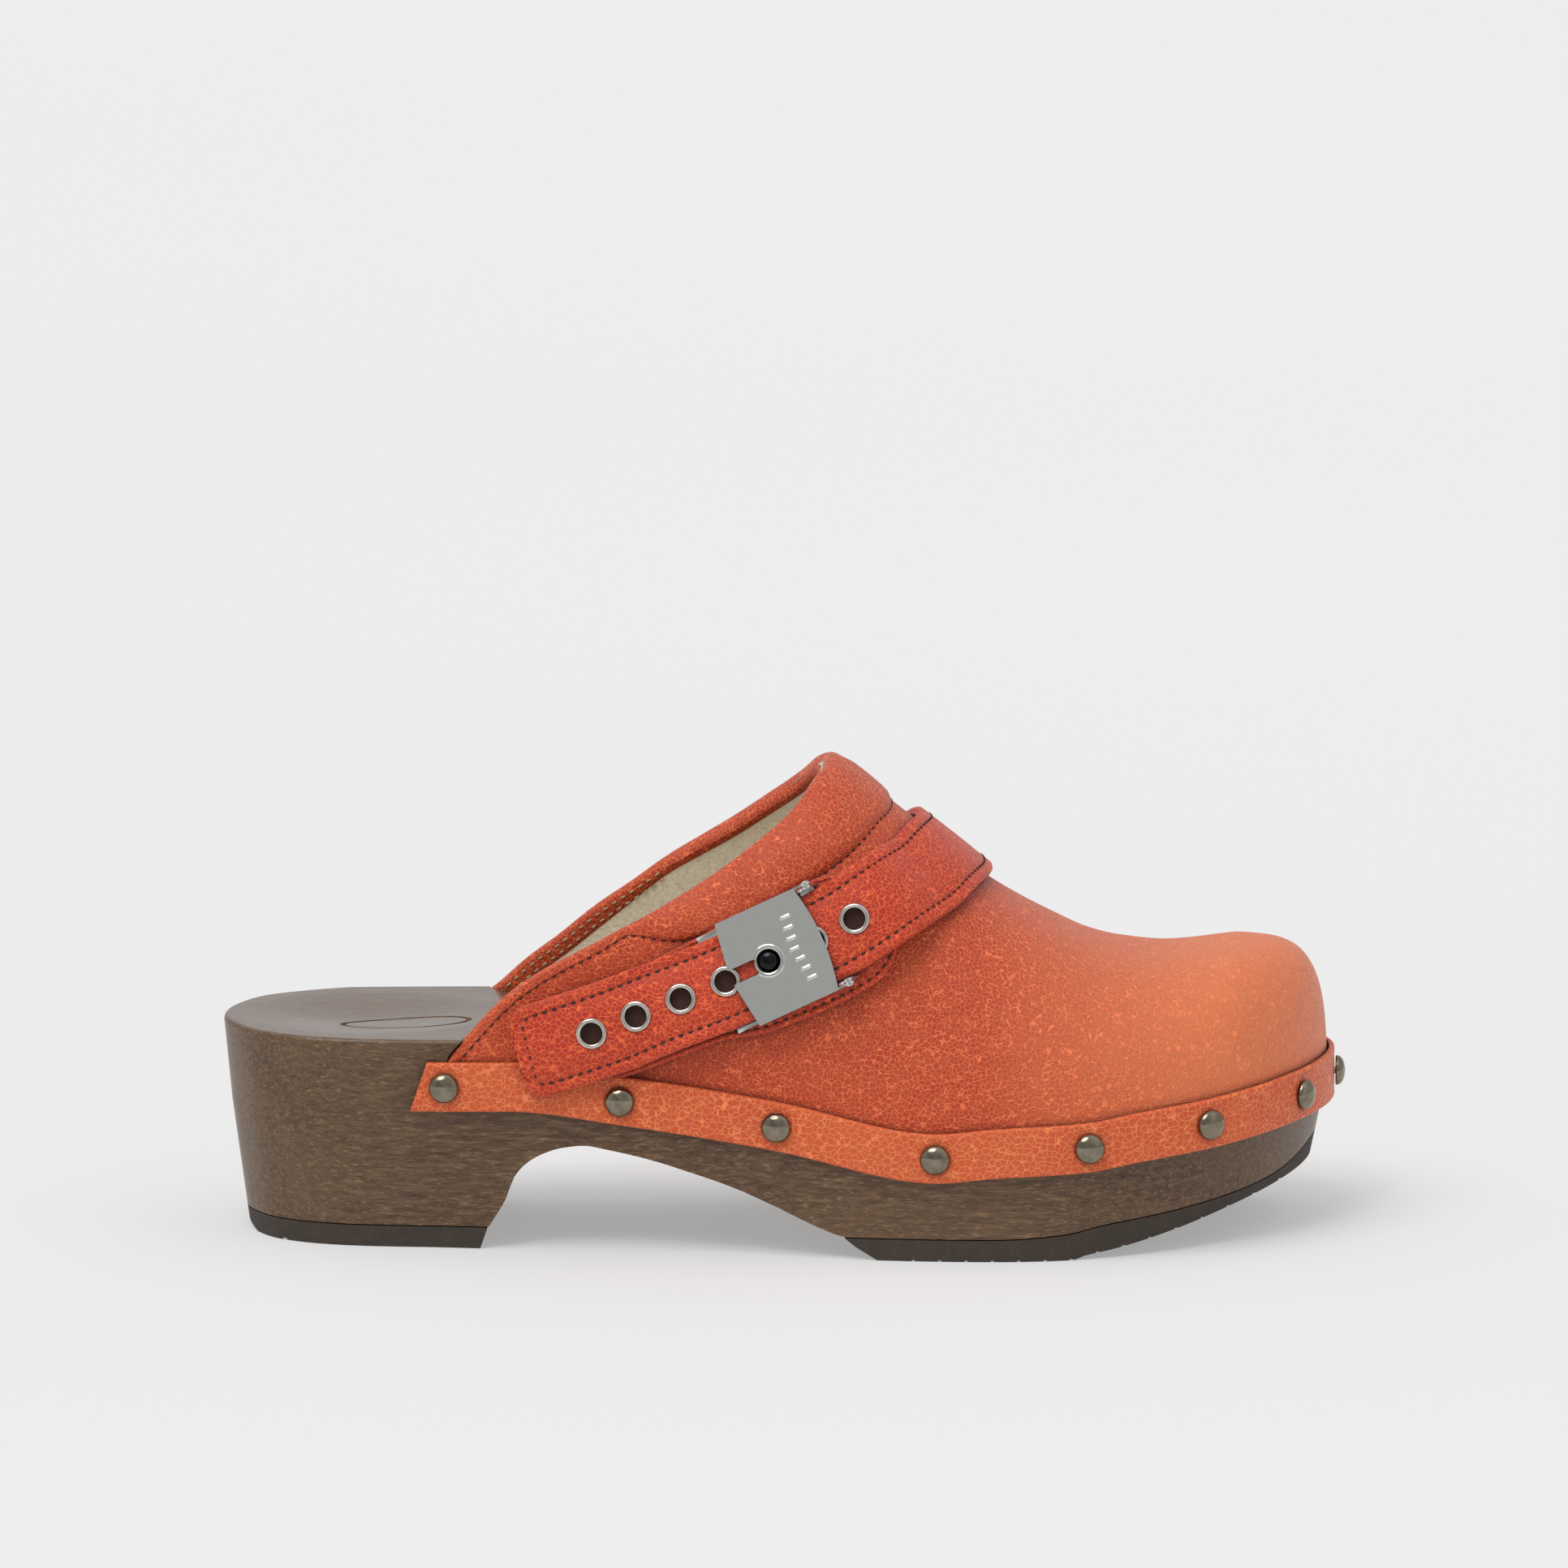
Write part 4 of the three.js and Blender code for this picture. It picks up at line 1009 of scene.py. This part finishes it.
def tab_stitches():
    low, high = tab_edges()
    face = TAB_LIFT + TAB_THICK - 0.1
    line = [strap_point(s, low(s) + 1.4, face) for s in np.arange(-34, TAB_END - 3, 1.0)]
    line += [strap_point(TAB_END - 1.6, w, face) for w in (-6, -2, 2, 6)]
    line.append(strap_point(TAB_END - 3, high(TAB_END - 3) - 1.4, face))
    return sewn("tab_stitches", line, off_strap, thick=0.24)


def collar_stitches():
    """The dark row along the collar's seam."""
    frames = topline_frames()
    line = [collar_point(f, float(collar_width(f[0][0])) - 0.05, 0.0) for f in frames]
    return sewn("collar_stitches", line, off_face)


def fold_stitches():
    """The two pale rows on the collar's inside fold."""
    frames = topline_frames()
    places = []
    for down in (1.7, 3.5):
        line = np.array([
            collar_point(f, down, lining_depth(f[0][0]) + 1.12) for f in frames if 61 < f[0][0] < 100
        ])
        split = int(np.argmax(np.linalg.norm(np.diff(line, axis=0), axis=1))) + 1
        for part in (line[:split], line[split:]):
            places += [(point, along, -off_face(point)) for point, along in spaced(part, STITCH_PITCH)]
    return stitches("fold_stitches", places, length=1.5, thick=0.24)


# ---- Buckle, in its own frame: X along the strap, Y out of its face, Z across downwards ----

BUCKLE = strap_frame(0)
PIN_U, PIN_N = 15, 1.7
LOBE = 1.25
BASE_REAR, BASE_FRONT, BASE_BOTTOM, BASE_TOP = -13.6, 17.6, -3.5, -2.8
WALL_INNER, WALL_OUTER = 11.5, 12.1
STEM_HOLES = ((-12.5, 1.3), (10.5, 1.3), (0, 1.7))
FLAP_REAR, FLAP_REAR_CROWN, FLAP_CORNER, FLAP_CROWN = -8, -9.6, 12, 13.6
FLAP_BOTTOM, FLAP_TOP, FLAP_HALF, FLANGE_INNER = 1, 1.8, 12.95, 12.35
SLOT_HALF, SLOT_HOLE, RING_OUTER, RING_TOP = 1.8, 2.7, 3.9, 2.3


def in_buckle(points):
    """The buckle's millimetres to metres in the frame."""
    return [BUCKLE @ (Vector(p) * MM) for p in points]


def prism(name, shape, bottom, top, upright):
    """A flat shape, (a, b), with thickness: lying in X and Z, or upright in X and Y."""
    rings = [[(a, b, level) if upright else (a, level, -b) for a, b in shape] for level in (bottom, top)]
    faces = end_faces(2, len(shape)) + tube_faces(2, len(shape))
    return tidy_mesh(mesh_object(name, in_buckle(rings[0] + rings[1]), faces, in_frame=True))


def add_walls(obj, shape, inner, outer):
    for low, high in ((-outer, -inner), (inner, outer)):
        combine(obj, prism("wall", shape, low, high, True), "UNION")


def buckle_flap():
    edge = [(FLAP_CORNER + (FLAP_CROWN - FLAP_CORNER) * (1 - t * t), FLAP_HALF * t)
            for t in np.linspace(-1, 1, 25)]
    open_angle = math.degrees(math.asin(SLOT_HALF / SLOT_HOLE))
    keyhole = arc(SLOT_HOLE, 180 - open_angle, open_angle - 180, 30)
    shape = [(FLAP_REAR, -FLAP_HALF), *edge, (FLAP_REAR, FLAP_HALF), (FLAP_REAR_CROWN, SLOT_HALF),
             *keyhole, (FLAP_REAR_CROWN, -SLOT_HALF)]
    flap = prism("flap_plate", shape, FLAP_BOTTOM, FLAP_TOP, False)
    flange = [(FLAP_REAR + 0.05, FLAP_TOP), (FLAP_REAR + 1.5, 0), (PIN_U - 1.5, 0.2)]
    flange += arc(LOBE, -70, 100, 14, (PIN_U, PIN_N)) + [(PIN_U - 3, FLAP_TOP)]
    add_walls(flap, flange, FLANGE_INNER, FLAP_HALF)
    flap = weighed(rounded(flap, 0.2, 3, 50))
    details = [flap, dished_ring()] + [flap_bar(6.6 + 0.35 * abs(k), 2.55 * k) for k in range(-3, 4)]
    return merged(details)


def merged(objects):
    """One object from several, keeping each one's shading."""
    first = objects[0]
    with bpy.context.temp_override(active_object=first, selected_editable_objects=objects):
        bpy.ops.object.join()
    return first


def dished_ring():
    """The raised ring round the keyhole's round end."""
    half_open = math.asin(SLOT_HALF / RING_OUTER)
    section = [(SLOT_HOLE + 0.02, FLAP_TOP - 0.4), (SLOT_HOLE + 0.02, RING_TOP - 0.3)]
    section += [(SLOT_HOLE + 0.62 - 0.6 * math.cos(a), RING_TOP - 0.3 + 0.3 * math.sin(a))
                for a in np.radians([25, 50, 75, 100, 125])]
    section += [(RING_OUTER - 0.35, FLAP_TOP + 0.18), (RING_OUTER, FLAP_TOP + 0.02),
                (RING_OUTER, FLAP_TOP - 0.4)]
    rings = []
    for a in np.linspace(-math.pi + half_open, math.pi - half_open, 48):
        rings.append([(r * math.cos(a), h, r * math.sin(a)) for r, h in section])
    return through_rings("ring", [in_buckle(ring) for ring in rings], 50, in_frame=True)


def flap_bar(u, w):
    """One short raised bar of a plain ladder ornament."""
    half, radius = 1.5, 0.55
    bend = [(radius * math.sin(a), -half + radius * (1 - math.cos(a))) for a in np.radians([8, 35, 62, 90])]
    profile = bend + [(r, -v) for r, v in bend[::-1]]
    points, faces = turned_parts(profile, 16)
    faces += end_faces(len(profile), 16)
    lay = Matrix.Translation(Vector((u, FLAP_TOP - 0.2, -w)) * MM) @ Matrix.Rotation(math.radians(90), 4, "Z")
    return tidy_mesh(mesh_object("bar", [BUCKLE @ lay @ p for p in points], faces, in_frame=True), 60)


def buckle_base():
    """The channel under the strap: a plate with a slim wall and a rounded ear on either side."""
    ear = [(BASE_REAR, BASE_BOTTOM), (BASE_FRONT - 0.8, BASE_BOTTOM)]
    ear += arc(0.9, -60, 50, 6, (BASE_FRONT - 0.9, BASE_BOTTOM + 1.8))
    ear += arc(LOBE - 0.1, -20, 200, 16, (PIN_U, PIN_N))
    ear += [(PIN_U - 3, 0.3), (BASE_REAR + 5, -0.7), (BASE_REAR + 1, -1.7), (BASE_REAR, -2.3)]
    corners = [(BASE_REAR, -WALL_OUTER), (BASE_FRONT - 1.5, -WALL_OUTER), (BASE_FRONT - 1.5, WALL_OUTER),
               (BASE_REAR, WALL_OUTER)]
    base = prism("base_plate", corners, BASE_BOTTOM, BASE_TOP, False)
    add_walls(base, ear, WALL_INNER, WALL_OUTER)
    for u, radius in STEM_HOLES:
        drilled(base, radius, -5, -1, BUCKLE @ Matrix.Translation(Vector((u, 0, 0)) * MM), 20)
    return weighed(rounded(base, 0.15, 2, 50))


def hinge_pin(name, sign):
    head = [(0.95, 13.02), (0.95, 13.12), (0.85, 13.25), (0.5, 13.34), (0.01, 13.36)]
    profile = [(0.01, 11.35), (0.68, 11.35), (0.68, 13.02), *head]
    across = Matrix.Rotation(math.radians(90 * sign), 4, "X")
    lay = Matrix.Translation(Vector((PIN_U, PIN_N, 0)) * MM) @ across
    return turned(name, profile, BUCKLE @ lay, 28, 50)


def peg():
    crown = [(2.1 * math.cos(a), 2.2 + 0.8 * math.sin(a)) for a in np.radians(np.linspace(0, 90, 9))]
    profile = [(0.01, -3.5), (1.4, -3.5), (1.4, -2.5), (2.1, -2.5), *crown[:-1], (0.01, 3.0)]
    return turned("peg_post", profile, BUCKLE, 36, 50)


# ---- Materials ----


class Tree:
    """A short way to write a node tree."""

    def __init__(self, tree):
        self.tree = tree

    def fill(self, *values_and_sockets):
        """Gives each socket a link or a plain value."""
        for value, socket in values_and_sockets:
            if isinstance(value, bpy.types.NodeSocket):
                self.link(value, socket)
            elif isinstance(value, tuple) and socket.type == "RGBA":
                socket.default_value = (*value, 1)
            else:
                socket.default_value = value

    def add(self, kind, **settings):
        node = self.tree.nodes.new(kind)
        for key, value in settings.items():
            setattr(node, key, value)
        return node

    def link(self, source, socket):
        self.tree.links.new(source, socket)

    def ramp(self, source, stops):
        node = self.add("ShaderNodeValToRGB")
        self.link(source, node.inputs["Fac"])
        while len(node.color_ramp.elements) < len(stops):
            node.color_ramp.elements.new(0.5)
        for element, (at, colour) in zip(node.color_ramp.elements, stops):
            element.position = at
            element.color = (*colour, 1) if len(colour) == 3 else (colour[0],) * 3 + (1,)
        return node.outputs["Color"]

    def fade(self, source, low, high, top=1.0, bottom=0.0):
        """From bottom to top as the source goes from low to high."""
        return self.ramp(source, [(low, (bottom,)), (high, (top,))])

    def mix(self, share, a, b, blend="MIX"):
        node = self.add("ShaderNodeMix", data_type="RGBA", blend_type=blend)
        self.fill((share, node.inputs["Factor"]), (a, node.inputs["A"]), (b, node.inputs["B"]))
        return node.outputs["Result"]

    def math(self, operation, a, b=0.0):
        node = self.add("ShaderNodeMath", operation=operation)
        self.fill((a, node.inputs[0]), (b, node.inputs[1]))
        return node.outputs["Value"]


class Nodes(Tree):
    """A material's node tree, whose place is in millimetres."""

    def __init__(self, name):
        self.material = bpy.data.materials.new(name)
        self.material.use_nodes = True
        super().__init__(self.material.node_tree)
        self.shader = self.tree.nodes["Principled BSDF"]
        self.place = self.mapping(self.add("ShaderNodeTexCoord").outputs["Object"], (1 / MM,) * 3)

    def mapping(self, source, scale):
        node = self.add("ShaderNodeMapping")
        self.fill((source, node.inputs["Vector"]), (scale, node.inputs["Scale"]))
        return node.outputs["Vector"]

    def noise(self, scale, detail=2.0, roughness=0.5, distortion=0.0, output="Fac"):
        """Noise of so many features a millimetre, or of its own scale on each axis."""
        place = self.place
        if isinstance(scale, tuple):
            place, scale = self.mapping(place, scale), 1.0
        node = self.add("ShaderNodeTexNoise")
        sockets = (node.inputs[k] for k in ("Vector", "Scale", "Detail", "Roughness", "Distortion"))
        self.fill(*zip((place, scale, detail, roughness, distortion), sockets))
        return node.outputs[output]

    def cells(self, source, scale, feature="DISTANCE_TO_EDGE"):
        node = self.add("ShaderNodeTexVoronoi", feature=feature)
        self.fill((source, node.inputs["Vector"]), (scale, node.inputs["Scale"]))
        return node.outputs["Distance"]

    def bump(self, height, depth_mm, strength=1.0, under=None):
        node = self.add("ShaderNodeBump")
        self.fill((height, node.inputs["Height"]), (depth_mm * MM, node.inputs["Distance"]),
                  (strength, node.inputs["Strength"]))
        if under:
            self.link(under, node.inputs["Normal"])
        return node.outputs["Normal"]

    def finish(self, colour, roughness, normal=None, **constants):
        inputs = self.shader.inputs
        self.fill((colour, inputs["Base Color"]), (roughness, inputs["Roughness"]))
        if normal:
            self.link(normal, inputs["Normal"])
        self.fill(*((value, inputs[socket.replace("_", " ")]) for socket, value in constants.items()))
        return self.material


def leather(name, low, high, cell, deep=0.09, roughness=0.4, painted_toe_sheen=0.0):
    """Pebbled leather: dark red cells inside a raised lighter network, with slow changes of colour, painted
    shade in creases and where parts touch, and an optional painted highlight toward the toe.
    """
    n = Nodes(name)
    wander = n.noise(0.45, 2, output="Color")
    bent = n.mix(0.5, n.place, wander, "ADD")
    net = n.cells(bent, 1 / cell)
    fine_net = n.cells(bent, 2.3 / cell)
    pits = n.ramp(net, [(0.0, (0,)), (0.02, (0.1,)), (0.1, (1,))])
    small = n.fade(fine_net, 0.0, 0.3)
    slow = n.noise(0.03, 3)
    mottled = n.noise(0.25, 3, 0.6)
    warm = tuple(c * f for c, f in zip(low, (1.12, 1.5, 1.6)))
    dark = n.mix(n.fade(slow, 0.35, 0.65), low, warm)
    dark = n.mix(n.fade(mottled, 0.35, 0.7, 0.5), dark, tuple(c * 0.72 for c in low))
    colour = n.mix(pits, high, dark)
    colour = n.mix(n.math("MULTIPLY", small, 0.2), colour, tuple(c * 0.5 for c in low))
    colour = n.mix(n.fade(mottled, 0.35, 0.75, 0.22), colour, high)
    # Painted highlight: the colour grows lighter toward the toe, standing in for its sheen.
    if painted_toe_sheen:
        split = n.add("ShaderNodeSeparateXYZ")
        n.link(n.place, split.inputs["Vector"])
        toe = n.fade(n.math("MULTIPLY", split.outputs["X"], 0.01), 0.45, 1.0, painted_toe_sheen)
        colour = n.mix(toe, colour, (1.0, 0.33, 0.125))
    # Painted shade: ambient occlusion darkens the colour in creases and where parts touch.
    painted_contact_shade = n.add("ShaderNodeAmbientOcclusion", samples=6)
    painted_contact_shade.inputs["Distance"].default_value = 3 * MM
    shaded = n.fade(painted_contact_shade.outputs["AO"], 0.25, 0.85, 0.0, 0.85)
    colour = n.mix(shaded, colour, tuple(c * 0.3 for c in low))
    height = n.math("SUBTRACT", n.math("MULTIPLY", pits, -1.0), n.math("MULTIPLY", small, 0.3))
    normal = n.bump(n.noise(0.07, 2), 0.8, 0.5)
    normal = n.bump(height, deep, 1.0, normal)
    rough = n.math("ADD", n.math("MULTIPLY", pits, 0.12), roughness)
    return n.finish(colour, rough, normal, Specular_IOR_Level=0.45, Sheen_Weight=0.13, Sheen_Roughness=0.4)


def suede():
    n = Nodes("beige_suede")
    fibres = n.noise(1.1, 5, 0.75, 0.6)
    clumps = n.noise(0.45, 3, 0.6)
    shades = [(0.3, (0.42, 0.35, 0.24)), (0.5, (0.78, 0.69, 0.51)), (0.72, (0.92, 0.85, 0.68))]
    colour = n.ramp(fibres, shades)
    colour = n.mix(n.fade(clumps, 0.35, 0.75, 0.35), colour, (0.60, 0.52, 0.36))
    normal = n.bump(fibres, 0.35)
    # The emission is painted light: a faint glow that brightens the lining deep inside the shoe.
    return n.finish(colour, 0.95, normal, Specular_IOR_Level=0.15, Sheen_Weight=0.4, Sheen_Roughness=0.5,
                    Emission_Color=(0.80, 0.69, 0.48), Emission_Strength=0.16)


def stained_wood():
    n = Nodes("stained_wood")
    broad = n.noise((0.014, 0.07, 0.07), 3, 0.55)
    grain = n.noise((0.11, 1.0, 1.0), 5, 0.7, 0.3)
    pores = n.noise((0.28, 5.0, 5.0), 2, 0.6)
    flecks = n.noise((0.35, 2.2, 2.2), 2, 0.5)
    shades = [(0.3, (0.040, 0.019, 0.009)), (0.5, (0.100, 0.054, 0.027)), (0.7, (0.200, 0.120, 0.064))]
    base = n.ramp(grain, shades)
    base = n.mix(n.fade(broad, 0.35, 0.7, 0.4), base, (0.185, 0.108, 0.056))
    colour = n.mix(n.fade(flecks, 0.57, 0.7, 0.5), base, (0.36, 0.218, 0.104))
    colour = n.mix(n.fade(pores, 0.3, 0.45, 0.0, 0.75), colour, (0.030, 0.017, 0.010))
    normal = n.bump(pores, 0.04)
    split = n.add("ShaderNodeSeparateXYZ")
    n.link(n.add("ShaderNodeNewGeometry").outputs["Normal"], split.inputs["Vector"])
    n.link(n.fade(split.outputs["Z"], 0.6, 0.95, 0.9, 0.15), n.shader.inputs["Coat Weight"])
    return n.finish(colour, 0.42, normal, Specular_IOR_Level=0.32, Coat_Roughness=0.14)


def tread_rubber():
    n = Nodes("tread_rubber")
    specks = n.cells(n.place, 1.3, "F1")
    blotch = n.noise(0.35, 3)
    base = n.mix(blotch, (0.034, 0.024, 0.018), (0.060, 0.045, 0.034))
    colour = n.mix(n.fade(specks, 0.1, 0.22, 0.0, 0.5), base, (0.16, 0.10, 0.06))
    normal = n.bump(n.noise(1.8, 4, 0.7), 0.16)
    return n.finish(colour, 0.78, normal)


def metal(name, colour, roughness, patina=None):
    n = Nodes(name)
    worn = n.noise(0.45, 4, 0.6)
    rough = n.math("ADD", n.math("MULTIPLY", worn, 0.06), roughness - 0.03)
    tint = n.mix(n.fade(worn, 0.4, 0.7), colour, patina or tuple(c * 0.97 for c in colour))
    return n.finish(tint, rough, Metallic=1.0)


def thread(name, colour):
    n = Nodes(name)
    twist = n.add("ShaderNodeTexWave", wave_type="BANDS", bands_direction="DIAGONAL")
    n.link(n.place, twist.inputs["Vector"])
    twist.inputs["Scale"].default_value = 1.1
    shade = n.mix(twist.outputs["Fac"], tuple(c * 0.55 for c in colour), colour)
    return n.finish(shade, 0.8, n.bump(twist.outputs["Fac"], 0.05))


def plain_soft(name, dark, light, scale):
    n = Nodes(name)
    weave = n.noise(scale, 4, 0.6)
    return n.finish(n.mix(weave, dark, light), 0.95, n.bump(weave, 0.2))


# ---- Assembly ----


def finish_piece(obj, material, body="shoe", nodes=()):
    obj.data.materials.clear()
    obj.data.materials.append(material)
    if body:
        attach(obj, body)
    if nodes:
        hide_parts(*nodes)
    return obj


vamp_leather = leather("vamp_grain", (0.45, 0.034, 0.006), (1.0, 0.200, 0.065), 1.1, painted_toe_sheen=0.45)
rand_leather = leather("rand_grain", (0.63, 0.072, 0.016), (1.0, 0.265, 0.085), 1.45, 0.09)
strap_leather = leather("strap_grain", (0.44, 0.018, 0.0035), (0.98, 0.145, 0.035), 1.2, 0.08)
suede_material = suede()
wood_material = stained_wood()
rubber_material = tread_rubber()
nickel = metal("polished_nickel", (0.66, 0.66, 0.635), 0.13)
eyelet_nickel = metal("eyelet_nickel", (0.62, 0.59, 0.54), 0.2, patina=(0.45, 0.41, 0.36))
antique = metal("antique_brass", (0.27, 0.235, 0.175), 0.14, patina=(0.17, 0.145, 0.105))
black_steel = metal("black_steel", (0.022, 0.022, 0.025), 0.10)
# Painted shade: near black, for the dark discs in the eyelet holes.
hole_shade = plain_soft("hole_shade", (0.020, 0.008, 0.006), (0.07, 0.025, 0.016), 0.8)
dark_thread = thread("dark_thread", (0.055, 0.026, 0.018))
pale_thread = thread("pale_thread", (0.62, 0.48, 0.27))

for make, material, slot, node in (
    (wood_sole, wood_material, "stained_wood", "wood_sole"),
    (heel_lift, rubber_material, "tread_rubber", "heel_lift"),
    (outsole, rubber_material, "tread_rubber", "outsole"),
    (vamp, vamp_leather, "vamp_leather", "upper"),
    (lining, suede_material, "suede_lining", "lining"),
    (collar, vamp_leather, "vamp_leather", "collar"),
    (rand, rand_leather, "rand_leather", "rand"),
):
    finish_piece(make(), material, nodes=[node])
for number, place in enumerate(nail_places(), 1):
    finish_piece(nail(f"dome_nail_{number}", place), antique, nodes=[f"nail_{number}"])

hinge_point, hinge_along, _, _ = centre_at(TAIL_HINGE)


def bend_piece(obj):
    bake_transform(obj)
    return obj


strap_piece = finish_piece(strap(), strap_leather, body=None, nodes=["strap", "strap_tail"])
bend_piece(strap_piece)
bend_piece(finish_piece(strap_stitches(), dark_thread, body=None))
for number, s in enumerate(eyelet_places(), 1):
    body = "strap_end" if number <= EYELET_ON_TAIL else "shoe"
    ring = eyelet(f"strap_eyelet_{number}", s)
    finish_piece(ring, eyelet_nickel, body, [f"eyelet_{number}"])
    finish_piece(eyelet_shade(f"eyelet_shade_{number}", s), hole_shade, body)
finish_piece(buckle_tab(), strap_leather, nodes=["buckle_tab"])
finish_piece(tab_stitches(), dark_thread)
finish_piece(collar_stitches(), dark_thread)
finish_piece(fold_stitches(), pale_thread)
finish_piece(buckle_flap(), nickel, "flap", ["buckle_flap"])
finish_piece(peg(), black_steel, nodes=["buckle_peg"])
finish_piece(buckle_base(), nickel, nodes=["buckle_base"])
for pin, sign in (("hinge_pin_upper", -1), ("hinge_pin_lower", 1)):
    finish_piece(hinge_pin(f"short_{pin}", sign), nickel, nodes=[pin])

kept = {
    "rivet_rear": nickel, "rivet_front": nickel,
    "toe_puff": plain_soft("puff_board", (0.16, 0.11, 0.06), (0.32, 0.24, 0.14), 1.2),
    "collar_foam": plain_soft("open_foam", (0.50, 0.45, 0.30), (0.72, 0.67, 0.48), 2.5),
}
for node, material in kept.items():
    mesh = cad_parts[node].data
    mesh.materials.clear()
    mesh.materials.append(material)

# ---- Floor, light and camera ----


def floor():
    plate = mesh_object("floor", [(-60000, -60000, -0.05), (60000, -60000, -0.05), (60000, 60000, -0.05),
                                  (-60000, 60000, -0.05)], [(0, 1, 2, 3)])
    n = Nodes("floor_paper")
    tone = n.noise(0.001, 1)
    glow = {"Emission_Color": (1, 1, 1), "Emission_Strength": 0.335, "Specular_IOR_Level": 0.0}
    plate.data.materials.append(n.finish(n.mix(tone, (0.47, 0.47, 0.47), (0.49, 0.49, 0.49)), 1.0, **glow))


def sun(name, strength, spread, tilt, turn):
    light = bpy.data.lights.new(name, "SUN")
    light.energy = strength
    light.angle = math.radians(spread)
    lamp = bpy.data.objects.new(name, light)
    lamp.rotation_euler = (math.radians(tilt), 0, math.radians(turn))
    bpy.context.scene.collection.objects.link(lamp)


def sky():
    """A soft studio dome: brighter overhead, and dimmer round the viewer for the metal to mirror."""
    world = bpy.data.worlds.new("studio")
    bpy.context.scene.world = world
    world.use_nodes = True
    n = Tree(world.node_tree)
    place = n.add("ShaderNodeTexCoord").outputs["Generated"]
    tones = []
    for axis, stops in (
        ((0, 0, 1), [(0.0, 0.80), (0.3, 0.85), (0.7, 1.0), (1.0, 1.1)]),
        ((0, -0.96, 0.28), [(0.0, 1.0), (0.5, 1.0), (0.86, 0.62), (1.0, 0.5)]),
    ):
        dot = n.add("ShaderNodeVectorMath", operation="DOT_PRODUCT")
        n.fill((place, dot.inputs[0]), (axis, dot.inputs[1]))
        tones.append(n.ramp(dot.outputs["Value"], [(at, (value,)) for at, value in stops]))
    background = n.tree.nodes["Background"].inputs
    n.fill((n.mix(1.0, *tones, blend="MULTIPLY"), background["Color"]), (0.66, background["Strength"]))


def camera():
    """A long lens level with the shoe's side, looking down a little."""
    lens_mm, sensor_mm, picture_mm = 700, 36, 364.5
    elevation = math.radians(10.5)
    distance = picture_mm * MM * lens_mm / sensor_mm
    middle = Vector(put((130.4, 0, 104.1))[0])
    made = bpy.data.cameras.new("camera")
    made.lens, made.sensor_width = lens_mm, sensor_mm
    made.clip_end = 200
    eye = bpy.data.objects.new("camera", made)
    eye.location = middle + distance * Vector((0, -math.cos(elevation), math.sin(elevation)))
    eye.rotation_euler = (math.pi / 2 - elevation, 0, 0)
    bpy.context.scene.collection.objects.link(eye)
    bpy.context.scene.camera = eye


floor()
sun("key", strength=1.3, spread=40, tilt=32, turn=-38)
sun("fill", strength=0.3, spread=90, tilt=50, turn=25)
sun("glint", strength=0.2, spread=7, tilt=38, turn=-25)
sky()
camera()
bpy.context.scene.view_settings.view_transform = "Standard"
